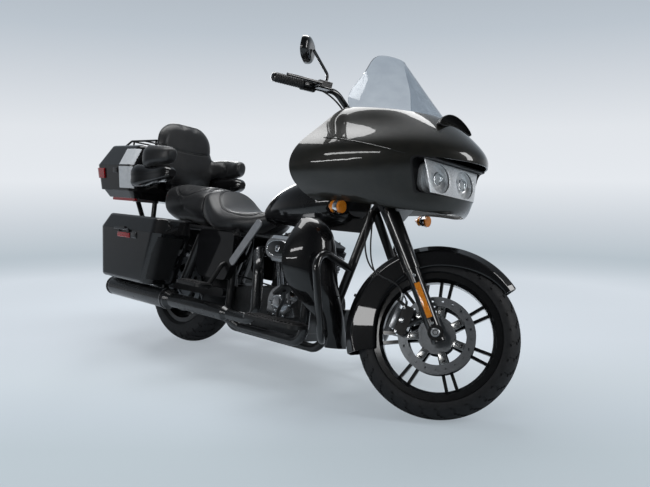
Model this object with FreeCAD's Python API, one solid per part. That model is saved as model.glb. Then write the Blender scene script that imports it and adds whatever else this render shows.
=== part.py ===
"""Touring cruiser motorcycle, parked on its side stand.

Lengths are millimetres and angles degrees. Each piece is drawn with the machine upright and
steering straight ahead: X forward from the rear axle, Y to the rider's left, Z up from the road.
At the end the fork is turned to its left stop and the whole machine is set down as it parks.
"""
import FreeCAD
import Part
import math
import os

V = FreeCAD.Vector
UP = V(0, 0, 1)
LEFT = V(0, 1, 0)
FORWARD = V(1, 0, 0)

# Driving dimensions
WHEELBASE = 1625.0
RAKE = 26.0
TRAIL = 173.0
FORK_ANGLE = 31.0
LEAN = 9.0
STEER_LOCK = 31.0
FRONT_RADIUS = 319.0
FRONT_WIDTH = 130.0
FRONT_CROWN = 68.0
FRONT_RIM = 241.0
REAR_RADIUS = 320.0
REAR_WIDTH = 180.0
REAR_CROWN = 115.0
REAR_RIM = 203.0

# Clearances that more than one piece uses
RUNNING_GAP = 0.3
SEAT_GAP = 0.3
SEAM_GAP = 0.5
MOVING_GAP = 6.0
OVERRUN = 40.0
MIDDLE = 0.5

# Pieces as they are made: name, shape and the group that carries it
pieces = {}
groups = {}


def keep(name, shape, group="chassis"):
    pieces[name] = shape
    groups[name] = group


def unit(vector):
    return vector * (1 / vector.Length)


def tangent(angle):
    return math.tan(math.radians(angle))


def cosine(angle):
    return math.cos(math.radians(angle))


def sine(angle):
    return math.sin(math.radians(angle))


def joined(shapes):
    whole = shapes[0].fuse(shapes[1:]) if len(shapes) > 1 else shapes[0]
    return whole.removeSplitter()


def together(shapes):
    return Part.makeCompound(shapes)


def mirrored(shape):
    return shape.mirror(V(0, 0, 0), LEFT)


def both_sides(shape):
    return together([shape, mirrored(shape)])


def blend_between(first, second, share):
    return first + (second - first) * share


def corner_wire(points, bend, closed=False):
    """Straight runs through the points with an arc of the given radius at each corner."""
    room_share = 0.48
    count = len(points)
    turning = range(count) if closed else range(1, count - 1)
    begins = {}
    ends = {}
    arcs = {}
    for i in turning:
        before = points[i - 1] - points[i]
        after = points[(i + 1) % count] - points[i]
        half = before.getAngle(after) * MIDDLE
        reach = min(bend / math.tan(half), room_share * before.Length, room_share * after.Length)
        radius = reach * math.tan(half)
        inward = unit(unit(before) + unit(after))
        begins[i] = points[i] + unit(before) * reach
        ends[i] = points[i] + unit(after) * reach
        waist = points[i] + inward * (radius / math.sin(half) - radius)
        arcs[i] = Part.Arc(begins[i], waist, ends[i]).toShape()
    edges = []
    for i in range(count if closed else count - 1):
        following = (i + 1) % count
        start = ends.get(i, points[i])
        stop = begins.get(following, points[following])
        if i in arcs:
            edges.append(arcs[i])
        edges.append(Part.LineSegment(start, stop).toShape())
    return Part.Wire(edges)


def polygon(points):
    return Part.makePolygon(points + [points[0]])


def slab(outline, low, high, bend=0):
    """A plate standing along the machine: an outline of (x, z) points, from y low to y high."""
    points = [V(x, low, z) for x, z in outline]
    wire = corner_wire(points, bend, True) if bend else polygon(points)
    return Part.Face(wire).extrude(V(0, high - low, 0))


def floor_plate(outline, low, high, bend=0):
    """A level plate: an outline of (x, y) points, from z low to z high."""
    points = [V(x, y, low) for x, y in outline]
    wire = corner_wire(points, bend, True) if bend else polygon(points)
    return Part.Face(wire).extrude(V(0, 0, high - low))


def rod(start, stop, radius):
    return Part.makeCylinder(radius, (stop - start).Length, start, stop - start)


def cone(start, stop, first, second):
    return Part.makeCone(first, second, (stop - start).Length, start, stop - start)


def tube(points, radius, bend):
    path = corner_wire(points, bend)
    profile = Part.Wire([Part.makeCircle(radius, points[0], points[1] - points[0])])
    return path.makePipeShell([profile], True, False)


def spun(profile, centre=V(0, 0, 0)):
    """A solid of revolution about the axle line, from (y, radius) points."""
    points = [V(0, y, r) for y, r in profile]
    solid = Part.Face(polygon(points)).revolve(V(0, 0, 0), LEFT, 360)
    solid.translate(centre)
    return solid


def loft(wires, ruled=False):
    return Part.makeLoft(wires, True, ruled)


def level_section(z, rear, front, inner, outer, bend):
    """A rounded rectangle lying level at height z."""
    corners = [V(rear, inner, z), V(front, inner, z), V(front, outer, z), V(rear, outer, z)]
    return corner_wire(corners, bend, True)


def spline_loop(points):
    curve = Part.BSplineCurve()
    curve.interpolate(Points=points, PeriodicFlag=True)
    return Part.Wire([curve.toShape()])


def round_section(centre, across, along, square_share=0.8, count=16):
    """A soft-cornered oval round a centre: half sizes are the two vectors."""
    points = []
    for step in range(count):
        turn = 2 * math.pi * step / count
        c = math.cos(turn)
        s = math.sin(turn)
        points.append(centre + across * math.copysign(abs(c) ** square_share, c)
                      + along * math.copysign(abs(s) ** square_share, s))
    return spline_loop(points)


# Steering axis and axles
AXIS_FOOT = V(WHEELBASE + TRAIL, 0, 0)
AXIS_UP = V(-sine(RAKE), 0, cosine(RAKE))
FRONT_AXLE = V(WHEELBASE, 0, FRONT_RADIUS)
REAR_AXLE = V(0, 0, REAR_RADIUS)
LEG_UP = V(-sine(FORK_ANGLE), 0, cosine(FORK_ANGLE))


def on_axis(height):
    return AXIS_FOOT + V(-height * tangent(RAKE), 0, height)


def on_leg(height, side=0):
    rise = height - FRONT_RADIUS
    return FRONT_AXLE + V(-rise * tangent(FORK_ANGLE), side, rise)


# Tyres
BEAD_INSET = 22.0
SIDEWALL_SHARE = 0.45
SHOULDER_SHARE = 0.93


def tyre(centre, radius, width, crown, rim):
    """Crown arc, bulged sidewalls and a flat bead seat, spun about the axle."""
    half = width * MIDDLE
    shoulder_y = half * SHOULDER_SHARE
    middle_r = radius - crown
    shoulder_r = middle_r + math.sqrt(crown ** 2 - shoulder_y ** 2)
    bead_y = half - BEAD_INSET
    waist_r = rim + (shoulder_r - rim) * SIDEWALL_SHARE
    crown_arc = Part.Arc(V(0, -shoulder_y, shoulder_r), V(0, 0, radius), V(0, shoulder_y, shoulder_r))
    wall_left = Part.Arc(V(0, shoulder_y, shoulder_r), V(0, half, waist_r), V(0, bead_y, rim))
    wall_right = Part.Arc(V(0, -bead_y, rim), V(0, -half, waist_r), V(0, -shoulder_y, shoulder_r))
    seat = Part.LineSegment(V(0, bead_y, rim), V(0, -bead_y, rim))
    wire = Part.Wire([edge.toShape() for edge in (crown_arc, wall_left, seat, wall_right)])
    solid = Part.Face(wire).revolve(V(0, 0, 0), LEFT, 360)
    solid = solid.cut(rim_ring(bead_y, rim))
    solid.translate(centre)
    return solid


# Cast wheels
RIM_LIP = 9.0
RIM_LIP_WIDTH = 5.0
RIM_WALL = 14.0
RIM_WELL = 12.0
HUB_RADIUS = 42.0
AXLE_RADIUS = 12.5
SPOKE_COUNT = 7
SPOKE_WIDTH = 13.0
SPOKE_HUB_SPREAD = 9.0
SPOKE_RIM_SPREAD = 21.0
SPOKE_DEPTH = 30.0


def rim_ring(half_wide, rim):
    """Barrel with a bead seat, a lip at each side and a drop in the middle."""
    well_half = half_wide * MIDDLE
    outer_y = half_wide + RIM_LIP_WIDTH
    profile = [(-outer_y, rim - RIM_WALL), (-outer_y, rim + RIM_LIP), (-half_wide, rim + RIM_LIP),
               (-half_wide, rim), (half_wide, rim), (half_wide, rim + RIM_LIP),
               (outer_y, rim + RIM_LIP), (outer_y, rim - RIM_WALL),
               (well_half, rim - RIM_WALL - RIM_WELL), (-well_half, rim - RIM_WALL - RIM_WELL)]
    return spun(profile)


def spoke_pair(reach, depth):
    """Two flat spokes that leave the hub side by side and part towards the rim."""
    bars = []
    for side in (-1, 1):
        hub_mid = side * SPOKE_HUB_SPREAD
        rim_mid = side * SPOKE_RIM_SPREAD
        half = SPOKE_WIDTH * MIDDLE
        outline = [(hub_mid - half, HUB_RADIUS * MIDDLE), (hub_mid + half, HUB_RADIUS * MIDDLE),
                   (rim_mid + half, reach), (rim_mid - half, reach)]
        bars.append(slab(outline, -depth * MIDDLE, depth * MIDDLE))
    return bars


def cast_wheel(centre, rim, tyre_width, hub_half, bore):
    half_wide = tyre_width * MIDDLE - BEAD_INSET
    shapes = [rim_ring(half_wide, rim)]
    for number in range(SPOKE_COUNT):
        for bar in spoke_pair(rim - RIM_WALL, SPOKE_DEPTH):
            bar.rotate(V(0, 0, 0), LEFT, 360 * number / SPOKE_COUNT)
            shapes.append(bar)
    shapes.append(rod(V(0, -hub_half, 0), V(0, hub_half, 0), HUB_RADIUS))
    wheel = joined(shapes)
    hole = rod(V(0, -hub_half - OVERRUN, 0), V(0, hub_half + OVERRUN, 0), bore)
    wheel = wheel.cut(hole)
    wheel.translate(centre)
    return wheel


# Brake discs
DISC_RADIUS = 150.0
DISC_BAND = 36.0
DISC_THICK = 5.0
DISC_OFFSET = 62.0
DISC_TAB_WIDTH = 30.0
DISC_HOLES = 21
DISC_HOLE_RADIUS = 4.5
CARRIER_THICK = 6.0
CARRIER_INNER_SHARE = 0.45


def brake_disc(centre, side, radius=DISC_RADIUS):
    """Drilled band on seven tabs that bolt to the spokes."""
    low = side * DISC_OFFSET - DISC_THICK * MIDDLE
    high = low + DISC_THICK
    band = rod(V(0, low, 0), V(0, high, 0), radius)
    band = band.cut(rod(V(0, low - OVERRUN, 0), V(0, high + OVERRUN, 0), radius - DISC_BAND))
    inner = radius * CARRIER_INNER_SHARE
    shapes = [band]
    for number in range(SPOKE_COUNT):
        half = DISC_TAB_WIDTH * MIDDLE
        outer = radius - DISC_BAND + CARRIER_THICK
        outline = [(-half, inner), (half, inner), (half, outer), (-half, outer)]
        tab = slab(outline, low, high)
        tab.rotate(V(0, 0, 0), LEFT, 360 * number / SPOKE_COUNT)
        shapes.append(tab)
    ring = rod(V(0, low, 0), V(0, high, 0), inner + CARRIER_THICK)
    shapes.append(ring.cut(rod(V(0, low - OVERRUN, 0), V(0, high + OVERRUN, 0), inner - CARRIER_THICK)))
    disc = joined(shapes)
    holes = []
    for number in range(DISC_HOLES):
        middle_r = radius - DISC_BAND * MIDDLE
        hole = rod(V(0, low - OVERRUN, middle_r), V(0, high + OVERRUN, middle_r), DISC_HOLE_RADIUS)
        hole.rotate(V(0, 0, 0), LEFT, 360 * number / DISC_HOLES)
        holes.append(hole)
    disc = disc.cut(holes)
    disc.translate(centre)
    return disc


def disc_mount(centre, side, hub_half, radius=DISC_RADIUS):
    """Boss that carries the disc's inner ring off the hub."""
    low = side * hub_half
    high = side * (DISC_OFFSET - DISC_THICK * MIDDLE)
    outer = radius * CARRIER_INNER_SHARE
    boss = rod(V(0, low, 0), V(0, high, 0), outer)
    boss = boss.cut(rod(V(0, low - side * OVERRUN, 0), V(0, high + side * OVERRUN, 0), AXLE_RADIUS + SEAT_GAP))
    boss.translate(centre)
    return boss


# Front wheel
FRONT_HUB_HALF = 45.0


def make_front_wheel():
    keep("front_tyre", tyre(FRONT_AXLE, FRONT_RADIUS, FRONT_WIDTH, FRONT_CROWN, FRONT_RIM), "front_wheel")
    wheel = cast_wheel(FRONT_AXLE, FRONT_RIM, FRONT_WIDTH, FRONT_HUB_HALF, AXLE_RADIUS + RUNNING_GAP)
    keep("front_rim", wheel, "front_wheel")
    discs = []
    for side in (-1, 1):
        disc = brake_disc(FRONT_AXLE, side)
        discs.append(joined([disc, disc_mount(FRONT_AXLE, side, FRONT_HUB_HALF)]))
    keep("front_discs", together(discs), "front_wheel")


# Rear wheel
REAR_HUB_HALF = 48.0
PULLEY_RADIUS = 100.0
PULLEY_WIDTH = 30.0
PULLEY_FLANGE = 5.0


def make_rear_wheel():
    keep("rear_tyre", tyre(REAR_AXLE, REAR_RADIUS, REAR_WIDTH, REAR_CROWN, REAR_RIM), "rear_wheel")
    wheel = cast_wheel(REAR_AXLE, REAR_RIM, REAR_WIDTH, REAR_HUB_HALF, AXLE_RADIUS + RUNNING_GAP)
    keep("rear_rim", wheel, "rear_wheel")
    disc = brake_disc(REAR_AXLE, -1)
    disc = joined([disc, disc_mount(REAR_AXLE, -1, REAR_HUB_HALF)])
    low = BELT_Y - PULLEY_WIDTH * MIDDLE
    high = BELT_Y + PULLEY_WIDTH * MIDDLE
    profile = [(REAR_HUB_HALF, HUB_RADIUS), (low, PULLEY_RADIUS), (low, PULLEY_RADIUS + PULLEY_FLANGE),
               (low + PULLEY_FLANGE, PULLEY_RADIUS + PULLEY_FLANGE), (low + PULLEY_FLANGE, PULLEY_RADIUS),
               (high - PULLEY_FLANGE, PULLEY_RADIUS), (high - PULLEY_FLANGE, PULLEY_RADIUS + PULLEY_FLANGE),
               (high, PULLEY_RADIUS + PULLEY_FLANGE), (high, HUB_RADIUS),
               (high, AXLE_RADIUS + RUNNING_GAP), (REAR_HUB_HALF, AXLE_RADIUS + RUNNING_GAP)]
    keep("rear_disc", together([disc, spun(profile, REAR_AXLE)]), "rear_wheel")


# Final drive belt
BELT_Y = 107.0
BELT_WIDTH = 19.0
BELT_THICK = 5.0
ENGINE_PULLEY_RADIUS = 45.0
ENGINE_PULLEY_CENTRE = V(545.0, 0, 330.0)


def belt_outline(extra):
    """Loop round both pulleys, as outer tangents and two arcs."""
    big = PULLEY_RADIUS + RUNNING_GAP + extra
    small = ENGINE_PULLEY_RADIUS + RUNNING_GAP + extra
    span = ENGINE_PULLEY_CENTRE - REAR_AXLE
    tilt = math.atan2(span.z, span.x)
    swing = math.acos((big - small) / span.Length)
    edges = []
    points = []
    for side in (1, -1):
        turn = tilt + side * swing
        direction = V(math.cos(turn), 0, math.sin(turn))
        points.append((REAR_AXLE + direction * big, ENGINE_PULLEY_CENTRE + direction * small))
    back = unit(span) * -1
    edges.append(Part.LineSegment(points[0][0], points[0][1]))
    edges.append(Part.Arc(points[0][1], ENGINE_PULLEY_CENTRE - back * small, points[1][1]))
    edges.append(Part.LineSegment(points[1][1], points[1][0]))
    edges.append(Part.Arc(points[1][0], REAR_AXLE + back * big, points[0][0]))
    return Part.Wire([edge.toShape() for edge in edges])


def make_belt():
    outer = Part.Face(belt_outline(BELT_THICK))
    ring = outer.cut(Part.Face(belt_outline(0)))
    belt = ring.extrude(V(0, BELT_WIDTH, 0))
    belt.translate(V(0, BELT_Y - BELT_WIDTH * MIDDLE, 0))
    keep("drive_belt", belt)


# Fork legs, clamps and stem
LEG_HALF_SPAN = 115.0
TUBE_RADIUS = 24.5
SLIDER_RADIUS = 29.0
COVER_RADIUS = 34.0
AXLE_BOSS_RADIUS = 30.0
AXLE_BOSS_DROP = 34.0
AXLE_END = 156.0
SLIDER_TOP = 545.0
COVER_TOP = 752.0
LOWER_CLAMP = 785.0
UPPER_CLAMP = 945.0
CLAMP_THICK = 34.0
STEM_RADIUS = 18.0
NECK_RADIUS = 33.0
CLAMP_WALL = 14.0
BEARING_GAP = 0.5


def fork_leg(side):
    y = side * LEG_HALF_SPAN
    bottom = on_leg(FRONT_RADIUS, y) - LEG_UP * AXLE_BOSS_DROP
    slider = rod(bottom, on_leg(SLIDER_TOP, y), SLIDER_RADIUS)
    tube_part = rod(on_leg(SLIDER_TOP, y), on_leg(UPPER_CLAMP, y) + LEG_UP * CLAMP_THICK, TUBE_RADIUS)
    boss_half = SLIDER_RADIUS + CLAMP_WALL * MIDDLE
    boss = rod(FRONT_AXLE + V(0, y - boss_half, 0), FRONT_AXLE + V(0, y + boss_half, 0), AXLE_BOSS_RADIUS)
    cover = rod(on_leg(SLIDER_TOP, y), on_leg(COVER_TOP, y), COVER_RADIUS)
    return joined([slider, tube_part, boss, cover, caliper(side)])


def clamp(height):
    """Plate square to the legs that grips both tubes and the stem."""
    centre = on_leg(height)
    stem_point = on_axis(height)
    across = V(cosine(FORK_ANGLE), 0, sine(FORK_ANGLE))
    reach = (stem_point - centre).dot(across) + STEM_RADIUS + CLAMP_WALL
    back = TUBE_RADIUS + CLAMP_WALL
    half = LEG_HALF_SPAN + TUBE_RADIUS + CLAMP_WALL
    waist = NECK_RADIUS + CLAMP_WALL
    corners = [(-back, -half), (-back, half), (back, half), (reach, waist), (reach, -waist), (back, -half)]
    points = [centre + across * a + V(0, b, 0) for a, b in corners]
    plate = Part.Face(corner_wire(points, CLAMP_WALL, True)).extrude(LEG_UP * CLAMP_THICK)
    for side in (-1, 1):
        start = centre + V(0, side * LEG_HALF_SPAN, 0) - LEG_UP * OVERRUN
        plate = plate.cut(rod(start, start + LEG_UP * (OVERRUN + CLAMP_THICK + OVERRUN), TUBE_RADIUS))
    return plate


def neck_ends():
    """Bottom and top of the steering head on its axis, between the two clamps."""
    across = V(cosine(FORK_ANGLE), 0, sine(FORK_ANGLE))
    tilt = FORK_ANGLE - RAKE
    slope_room = (NECK_RADIUS + BEARING_GAP) * tangent(tilt)
    found = []
    for height, lift in ((LOWER_CLAMP, CLAMP_THICK), (UPPER_CLAMP, 0)):
        plane_point = on_leg(height) + LEG_UP * lift
        run = (plane_point - AXIS_FOOT).dot(LEG_UP) / AXIS_UP.dot(LEG_UP)
        found.append(run)
    low = AXIS_FOOT + AXIS_UP * (found[0] + slope_room + BEARING_GAP)
    high = AXIS_FOOT + AXIS_UP * (found[1] - slope_room - BEARING_GAP)
    return low, high


def make_fork():
    reach = V(0, AXLE_END, 0)
    spare = V(0, OVERRUN, 0)
    axle = rod(FRONT_AXLE - reach, FRONT_AXLE + reach, AXLE_RADIUS)
    legs = joined([fork_leg(-1), fork_leg(1), axle])
    bore = rod(FRONT_AXLE - reach - spare, FRONT_AXLE + reach + spare, AXLE_BORE)
    keep("fork_legs", legs.cut(bore), "fork")
    low, high = neck_ends()
    stem = rod(low - AXIS_UP * CLAMP_THICK, high + AXIS_UP * CLAMP_THICK, STEM_RADIUS)
    keep("triple_clamps", joined([clamp(LOWER_CLAMP), clamp(UPPER_CLAMP), stem]), "fork")


AXLE_BORE = 8.0

# Front fender
FENDER_CROWN = 362.0
FENDER_HALF = 84.0
FENDER_WALL = 3.0
FENDER_FRONT_ANGLE = 43.0
FENDER_REAR_ANGLE = 203.0
FENDER_SKIRT = 104.0
FENDER_SHOULDER = 30.0


def fender_section(angle, crown, half, skirt, wall_in):
    """Closed section of the fender, or of its hollow, at an angle round the axle."""
    out = V(cosine(angle), 0, sine(angle))
    top = out * (crown - wall_in)
    side = half - wall_in
    low = out * (crown - skirt)
    shoulder = out * (crown - wall_in - FENDER_SHOULDER)
    points = [low - V(0, side, 0), shoulder - V(0, side, 0), top - V(0, side * MIDDLE, 0),
              top + V(0, side * MIDDLE, 0), shoulder + V(0, side, 0), low + V(0, side, 0)]
    return corner_wire([FRONT_AXLE + p for p in points], FENDER_SHOULDER * MIDDLE, True)


def fender_sweep(wall_in, drop):
    """Skirt depth and width grow from the tip, hold over the wheel and narrow at the rear."""
    stations = ((0.0, 0.42, 0.5), (0.1, 0.66, 0.62), (0.25, 0.9, 0.84), (0.45, 1.0, 0.96),
                (0.7, 1.0, 1.12), (0.88, 0.98, 1.24), (1.0, 0.92, 1.2))
    wires = []
    for turn_share, half_share, skirt_share in stations:
        angle = FENDER_FRONT_ANGLE + (FENDER_REAR_ANGLE - FENDER_FRONT_ANGLE) * turn_share
        skirt = FENDER_SKIRT * skirt_share + drop
        wires.append(fender_section(angle, FENDER_CROWN, FENDER_HALF * half_share, skirt, wall_in))
    return loft(wires)


def make_front_fender():
    outer = fender_sweep(0, 0)
    hollow = fender_sweep(FENDER_WALL, OVERRUN)
    shell = outer.cut(hollow)
    for side in (-1, 1):
        start = on_leg(FRONT_RADIUS, side * LEG_HALF_SPAN)
        stop = on_leg(COVER_TOP, side * LEG_HALF_SPAN)
        shell = shell.cut(rod(start, stop, COVER_RADIUS + SEAT_GAP))
    keep("front_fender", shell, "fork")


# Front calipers
CALIPER_HEIGHT = 385.0
CALIPER_BACK = 92.0
CALIPER_LONG = 118.0
CALIPER_WIDE = 50.0
CALIPER_THICK = 62.0
CALIPER_GAP = 3.0


def caliper(side):
    """Two-piece body astride the disc, behind the leg, with a lug to the slider."""
    middle = V(FRONT_AXLE.x, side * DISC_OFFSET, FRONT_AXLE.z)
    turn = 180 - CALIPER_TURN
    out = V(cosine(turn), 0, sine(turn))
    along = V(-out.z, 0, out.x)
    centre = middle + out * (DISC_RADIUS - DISC_BAND * MIDDLE + CALIPER_GAP)
    half = CALIPER_LONG * MIDDLE
    wide = CALIPER_WIDE * MIDDLE
    points = [centre + out * a + along * b for a, b in
              ((-wide, -half), (wide, -half), (wide, half), (-wide, half))]
    low = V(0, -CALIPER_THICK * MIDDLE, 0)
    block = Part.Face(corner_wire([p + low for p in points], CALIPER_BEND, True))
    block = block.extrude(V(0, CALIPER_THICK, 0))
    half_slot = DISC_THICK * MIDDLE + CALIPER_GAP
    slot_start = middle - V(0, half_slot, 0)
    slot = Part.makeCylinder(DISC_RADIUS + CALIPER_GAP, half_slot + half_slot, slot_start, LEFT)
    block = block.cut(slot)
    leg_point = on_leg(CALIPER_HEIGHT, side * LEG_HALF_SPAN)
    lug_low = centre + along * half * MIDDLE
    lug_y = side * (DISC_OFFSET + half_slot + CALIPER_LUG + CALIPER_LUG_INSET)
    lug = rod(V(lug_low.x, lug_y, lug_low.z), V(leg_point.x, lug_y, leg_point.z), CALIPER_LUG)
    return joined([block, lug])


CALIPER_TURN = 12.0
CALIPER_BEND = 16.0
CALIPER_LUG = 10.0
CALIPER_LUG_INSET = 2.0


# Handlebar, grips, controls and mirrors
BAR_RADIUS = 12.7
GRIP_RADIUS = 17.5
GRIP_LONG = 128.0
GRIP_END = V(866.0, 450.0, 1132.0)
BAR_BEND = V(1050.0, 222.0, 1205.0)
BAR_SHOULDER = V(1178.0, 120.0, 1085.0)
BAR_CENTRE = V(1185.0, 0, 1078.0)
BAR_CORNER = 55.0
RISER_RADIUS = 20.0
RISER_Y = 48.0
SWITCH_LONG = 58.0
SWITCH_RADIUS = 24.0
LEVER_RADIUS = 6.0
LEVER_OUT = 62.0
LEVER_END_SHARE = 0.12
RESERVOIR_LONG = 55.0
RESERVOIR_SIZE = 34.0
MIRROR_CENTRE = V(962.0, 420.0, 1276.0)
MIRROR_HALF_WIDE = 66.0
MIRROR_HALF_HIGH = 46.0
MIRROR_THICK = 30.0
STALK_RADIUS = 6.0
STALK_BASE_SHARE = 0.42
STALK_RISE = 30.0


def right(point):
    return V(point.x, -point.y, point.z)


def make_handlebar():
    path = [right(GRIP_END), right(BAR_BEND), right(BAR_SHOULDER), BAR_SHOULDER, BAR_BEND, GRIP_END]
    bar = tube(path, BAR_RADIUS, BAR_CORNER)
    clamp_top = on_leg(UPPER_CLAMP) + LEG_UP * CLAMP_THICK
    risers = []
    for side in (-1, 1):
        foot = V(clamp_top.x, side * RISER_Y, clamp_top.z)
        head = V(BAR_SHOULDER.x, side * RISER_Y, BAR_SHOULDER.z)
        riser = rod(foot, head + unit(head - foot) * (BAR_RADIUS + STALK_RADIUS), RISER_RADIUS)
        risers.append(riser)
    base = joined(risers + [bar]).cut(clamp(UPPER_CLAMP))
    keep("handlebar", base, "fork")


def bar_direction():
    return unit(GRIP_END - BAR_BEND)


def control_side():
    """Grip, switch housing, lever with its perch and reservoir for the left hand."""
    along = bar_direction()
    grip_start = GRIP_END - along * GRIP_LONG
    grip = rod(grip_start, GRIP_END + along * BAR_RADIUS * MIDDLE, GRIP_RADIUS)
    switch_start = grip_start - along * SWITCH_LONG
    housing = rod(switch_start, grip_start, SWITCH_RADIUS)
    ahead = unit(along.cross(UP))
    ahead = ahead if ahead.x > 0 else ahead * -1
    perch_start = switch_start + along * LEVER_RADIUS
    pivot = perch_start + ahead * LEVER_OUT
    lever_tip = GRIP_END + ahead * LEVER_OUT - along * GRIP_LONG * LEVER_END_SHARE
    lever = rod(pivot, lever_tip, LEVER_RADIUS)
    perch = rod(perch_start, pivot, SWITCH_RADIUS * MIDDLE)
    box_middle = perch_start + ahead * (SWITCH_RADIUS + RESERVOIR_SIZE * MIDDLE) - along * RESERVOIR_LONG
    half = RESERVOIR_SIZE * MIDDLE
    corners = [box_middle + ahead * a + UP * b for a, b in
               ((-half, -half), (half, -half), (half, half), (-half, half))]
    box = Part.Face(corner_wire(corners, LEVER_RADIUS, True)).extrude(along * (RESERVOIR_LONG + LEVER_RADIUS))
    body = joined([housing, perch, lever, box])
    bar_hole = rod(BAR_BEND, GRIP_END + along * OVERRUN, BAR_RADIUS)
    return grip.cut(rod(BAR_BEND, GRIP_END, BAR_RADIUS)), body.cut(bar_hole)


def mirror():
    """Housing on a curved stalk from the lever perch, left side."""
    along = bar_direction()
    ahead = unit(along.cross(UP))
    ahead = ahead if ahead.x > 0 else ahead * -1
    switch_start = GRIP_END - along * (GRIP_LONG + SWITCH_LONG)
    base = switch_start + ahead * (SWITCH_RADIUS + RESERVOIR_SIZE * MIDDLE) - along * RESERVOIR_LONG * MIDDLE
    base = base + UP * (RESERVOIR_SIZE * MIDDLE)
    knee = base + UP * STALK_RISE
    back = MIRROR_CENTRE + FORWARD * MIRROR_THICK * MIDDLE
    stalk = tube([base, knee, back + V(STALK_RADIUS, 0, 0)], STALK_RADIUS, STALK_RISE)
    rear_face = MIRROR_CENTRE - FORWARD * MIRROR_THICK * MIDDLE
    sections = []
    for x_share, size_share in ((0.0, 1.0), (0.55, 0.96), (1.0, 0.5)):
        centre = blend_between(rear_face, back, x_share)
        sections.append(round_section(centre, LEFT * MIRROR_HALF_WIDE * size_share,
                                      UP * MIRROR_HALF_HIGH * size_share, 0.8, 12))
    return joined([loft(sections), stalk])


def make_hand_controls():
    grip, controls = control_side()
    keep("grips", both_sides(grip), "fork")
    keep("hand_controls", both_sides(joined([controls, mirror()])), "fork")


# Fairing
FAIRING_NOSE = 1730.0
FAIRING_BOTTOM = 803.0
FAIRING_TOP = 1198.0
FAIRING_HALF = 415.0
FAIRING_TAIL = 1096.0
FAIRING_WALL = 5.0
FAIRING_LEVEL_SHARES = (
    # height, front x, front corner x and y, side x and y, rear x and y
    (0.0, 0.86, 0.78, 0.36, 0.45, 0.62, 0.12, 0.72),
    (0.13, 0.915, 0.78, 0.44, 0.44, 0.78, 0.04, 0.90),
    (0.36, 0.965, 0.80, 0.50, 0.46, 0.86, 0.00, 1.00),
    (0.57, 1.0, 0.82, 0.52, 0.47, 0.86, 0.05, 0.97),
    (0.70, 0.95, 0.79, 0.47, 0.44, 0.78, 0.105, 0.89),
    (0.85, 0.84, 0.71, 0.39, 0.42, 0.67, 0.16, 0.78),
    (1.0, 0.68, 0.605, 0.31, 0.42, 0.555, 0.225, 0.64),
)


def fairing_level(shares, wall):
    """One level outline: a smooth nose curve closed by a straight line across the back."""
    height, front, corner_x, corner_y, side_x, side_y, rear_x, rear_y = shares
    long = FAIRING_NOSE - FAIRING_TAIL
    z = FAIRING_BOTTOM + (FAIRING_TOP - FAIRING_BOTTOM) * height
    trim = wall
    rear_trim = OVERRUN if wall else 0
    half = [(FAIRING_TAIL + long * rear_x - rear_trim, FAIRING_HALF * rear_y - trim),
            (FAIRING_TAIL + long * side_x, FAIRING_HALF * side_y - trim),
            (FAIRING_TAIL + long * corner_x - trim, FAIRING_HALF * corner_y - trim)]
    points = [V(x, -y, z) for x, y in half]
    points.append(V(FAIRING_TAIL + long * front - trim, 0, z))
    points += [V(x, y, z) for x, y in reversed(half)]
    curve = Part.BSplineCurve()
    curve.interpolate(Points=points)
    return Part.Wire([curve.toShape(), Part.LineSegment(points[-1], points[0]).toShape()])


def fairing_hull():
    return loft([fairing_level(shares, 0) for shares in FAIRING_LEVEL_SHARES])


def fairing_hollow():
    """Room inside the shell, open at the back and at the bottom."""
    wires = []
    last = len(FAIRING_LEVEL_SHARES) - 1
    for number, shares in enumerate(FAIRING_LEVEL_SHARES):
        wire = fairing_level(shares, FAIRING_WALL)
        if number == 0:
            wire.translate(V(0, 0, -FAIRING_WALL))
        if number == last:
            wire.translate(V(0, 0, -FAIRING_WALL))
        wires.append(wire)
    return loft(wires)


# Headlamp in its recess
LAMP_LOW = 868.0
LAMP_HIGH = 1008.0
LAMP_HALF_LOW = 205.0
LAMP_HALF_HIGH = 262.0
LAMP_BACK = 1560.0
LENS_GAP = 10.0
LENS_DEPTH = 18.0
BUCKET_WALL = 6.0


def lamp_block(inset, rear, front):
    """Wide trapezium, tall at its middle, drawn across the nose."""
    low = LAMP_LOW + inset
    high = LAMP_HIGH - inset
    half_low = LAMP_HALF_LOW - inset
    half_high = LAMP_HALF_HIGH - inset
    points = [V(rear, -half_low, low), V(rear, half_low, low), V(rear, half_high, high), V(rear, -half_high, high)]
    return Part.Face(corner_wire(points, LENS_DEPTH, True)).extrude(V(front - rear, 0, 0))


def make_fairing():
    hull = fairing_hull()
    hollow = fairing_hollow()
    shell = hull.cut(hollow)
    recess = lamp_block(0, LAMP_BACK, FAIRING_NOSE + OVERRUN)
    shell = shell.cut(recess)
    keep("fairing_shell", shell)
    bucket = hull.common(lamp_block(0, LAMP_BACK - BUCKET_WALL, FAIRING_NOSE + OVERRUN))
    core = lamp_block(BUCKET_WALL, LAMP_BACK, FAIRING_NOSE + OVERRUN)
    front_cut = lamp_block(-OVERRUN, LAMP_FRONT, FAIRING_NOSE + OVERRUN)
    bucket = bucket.cut(core).cut(front_cut)
    keep("headlamp_bezel", bucket)
    lenses = []
    for side in (-1, 1):
        lens = lamp_lens(side)
        lenses.append(lens)
    keep("headlamp_lenses", together(lenses))


LAMP_FRONT = 1640.0


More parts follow.
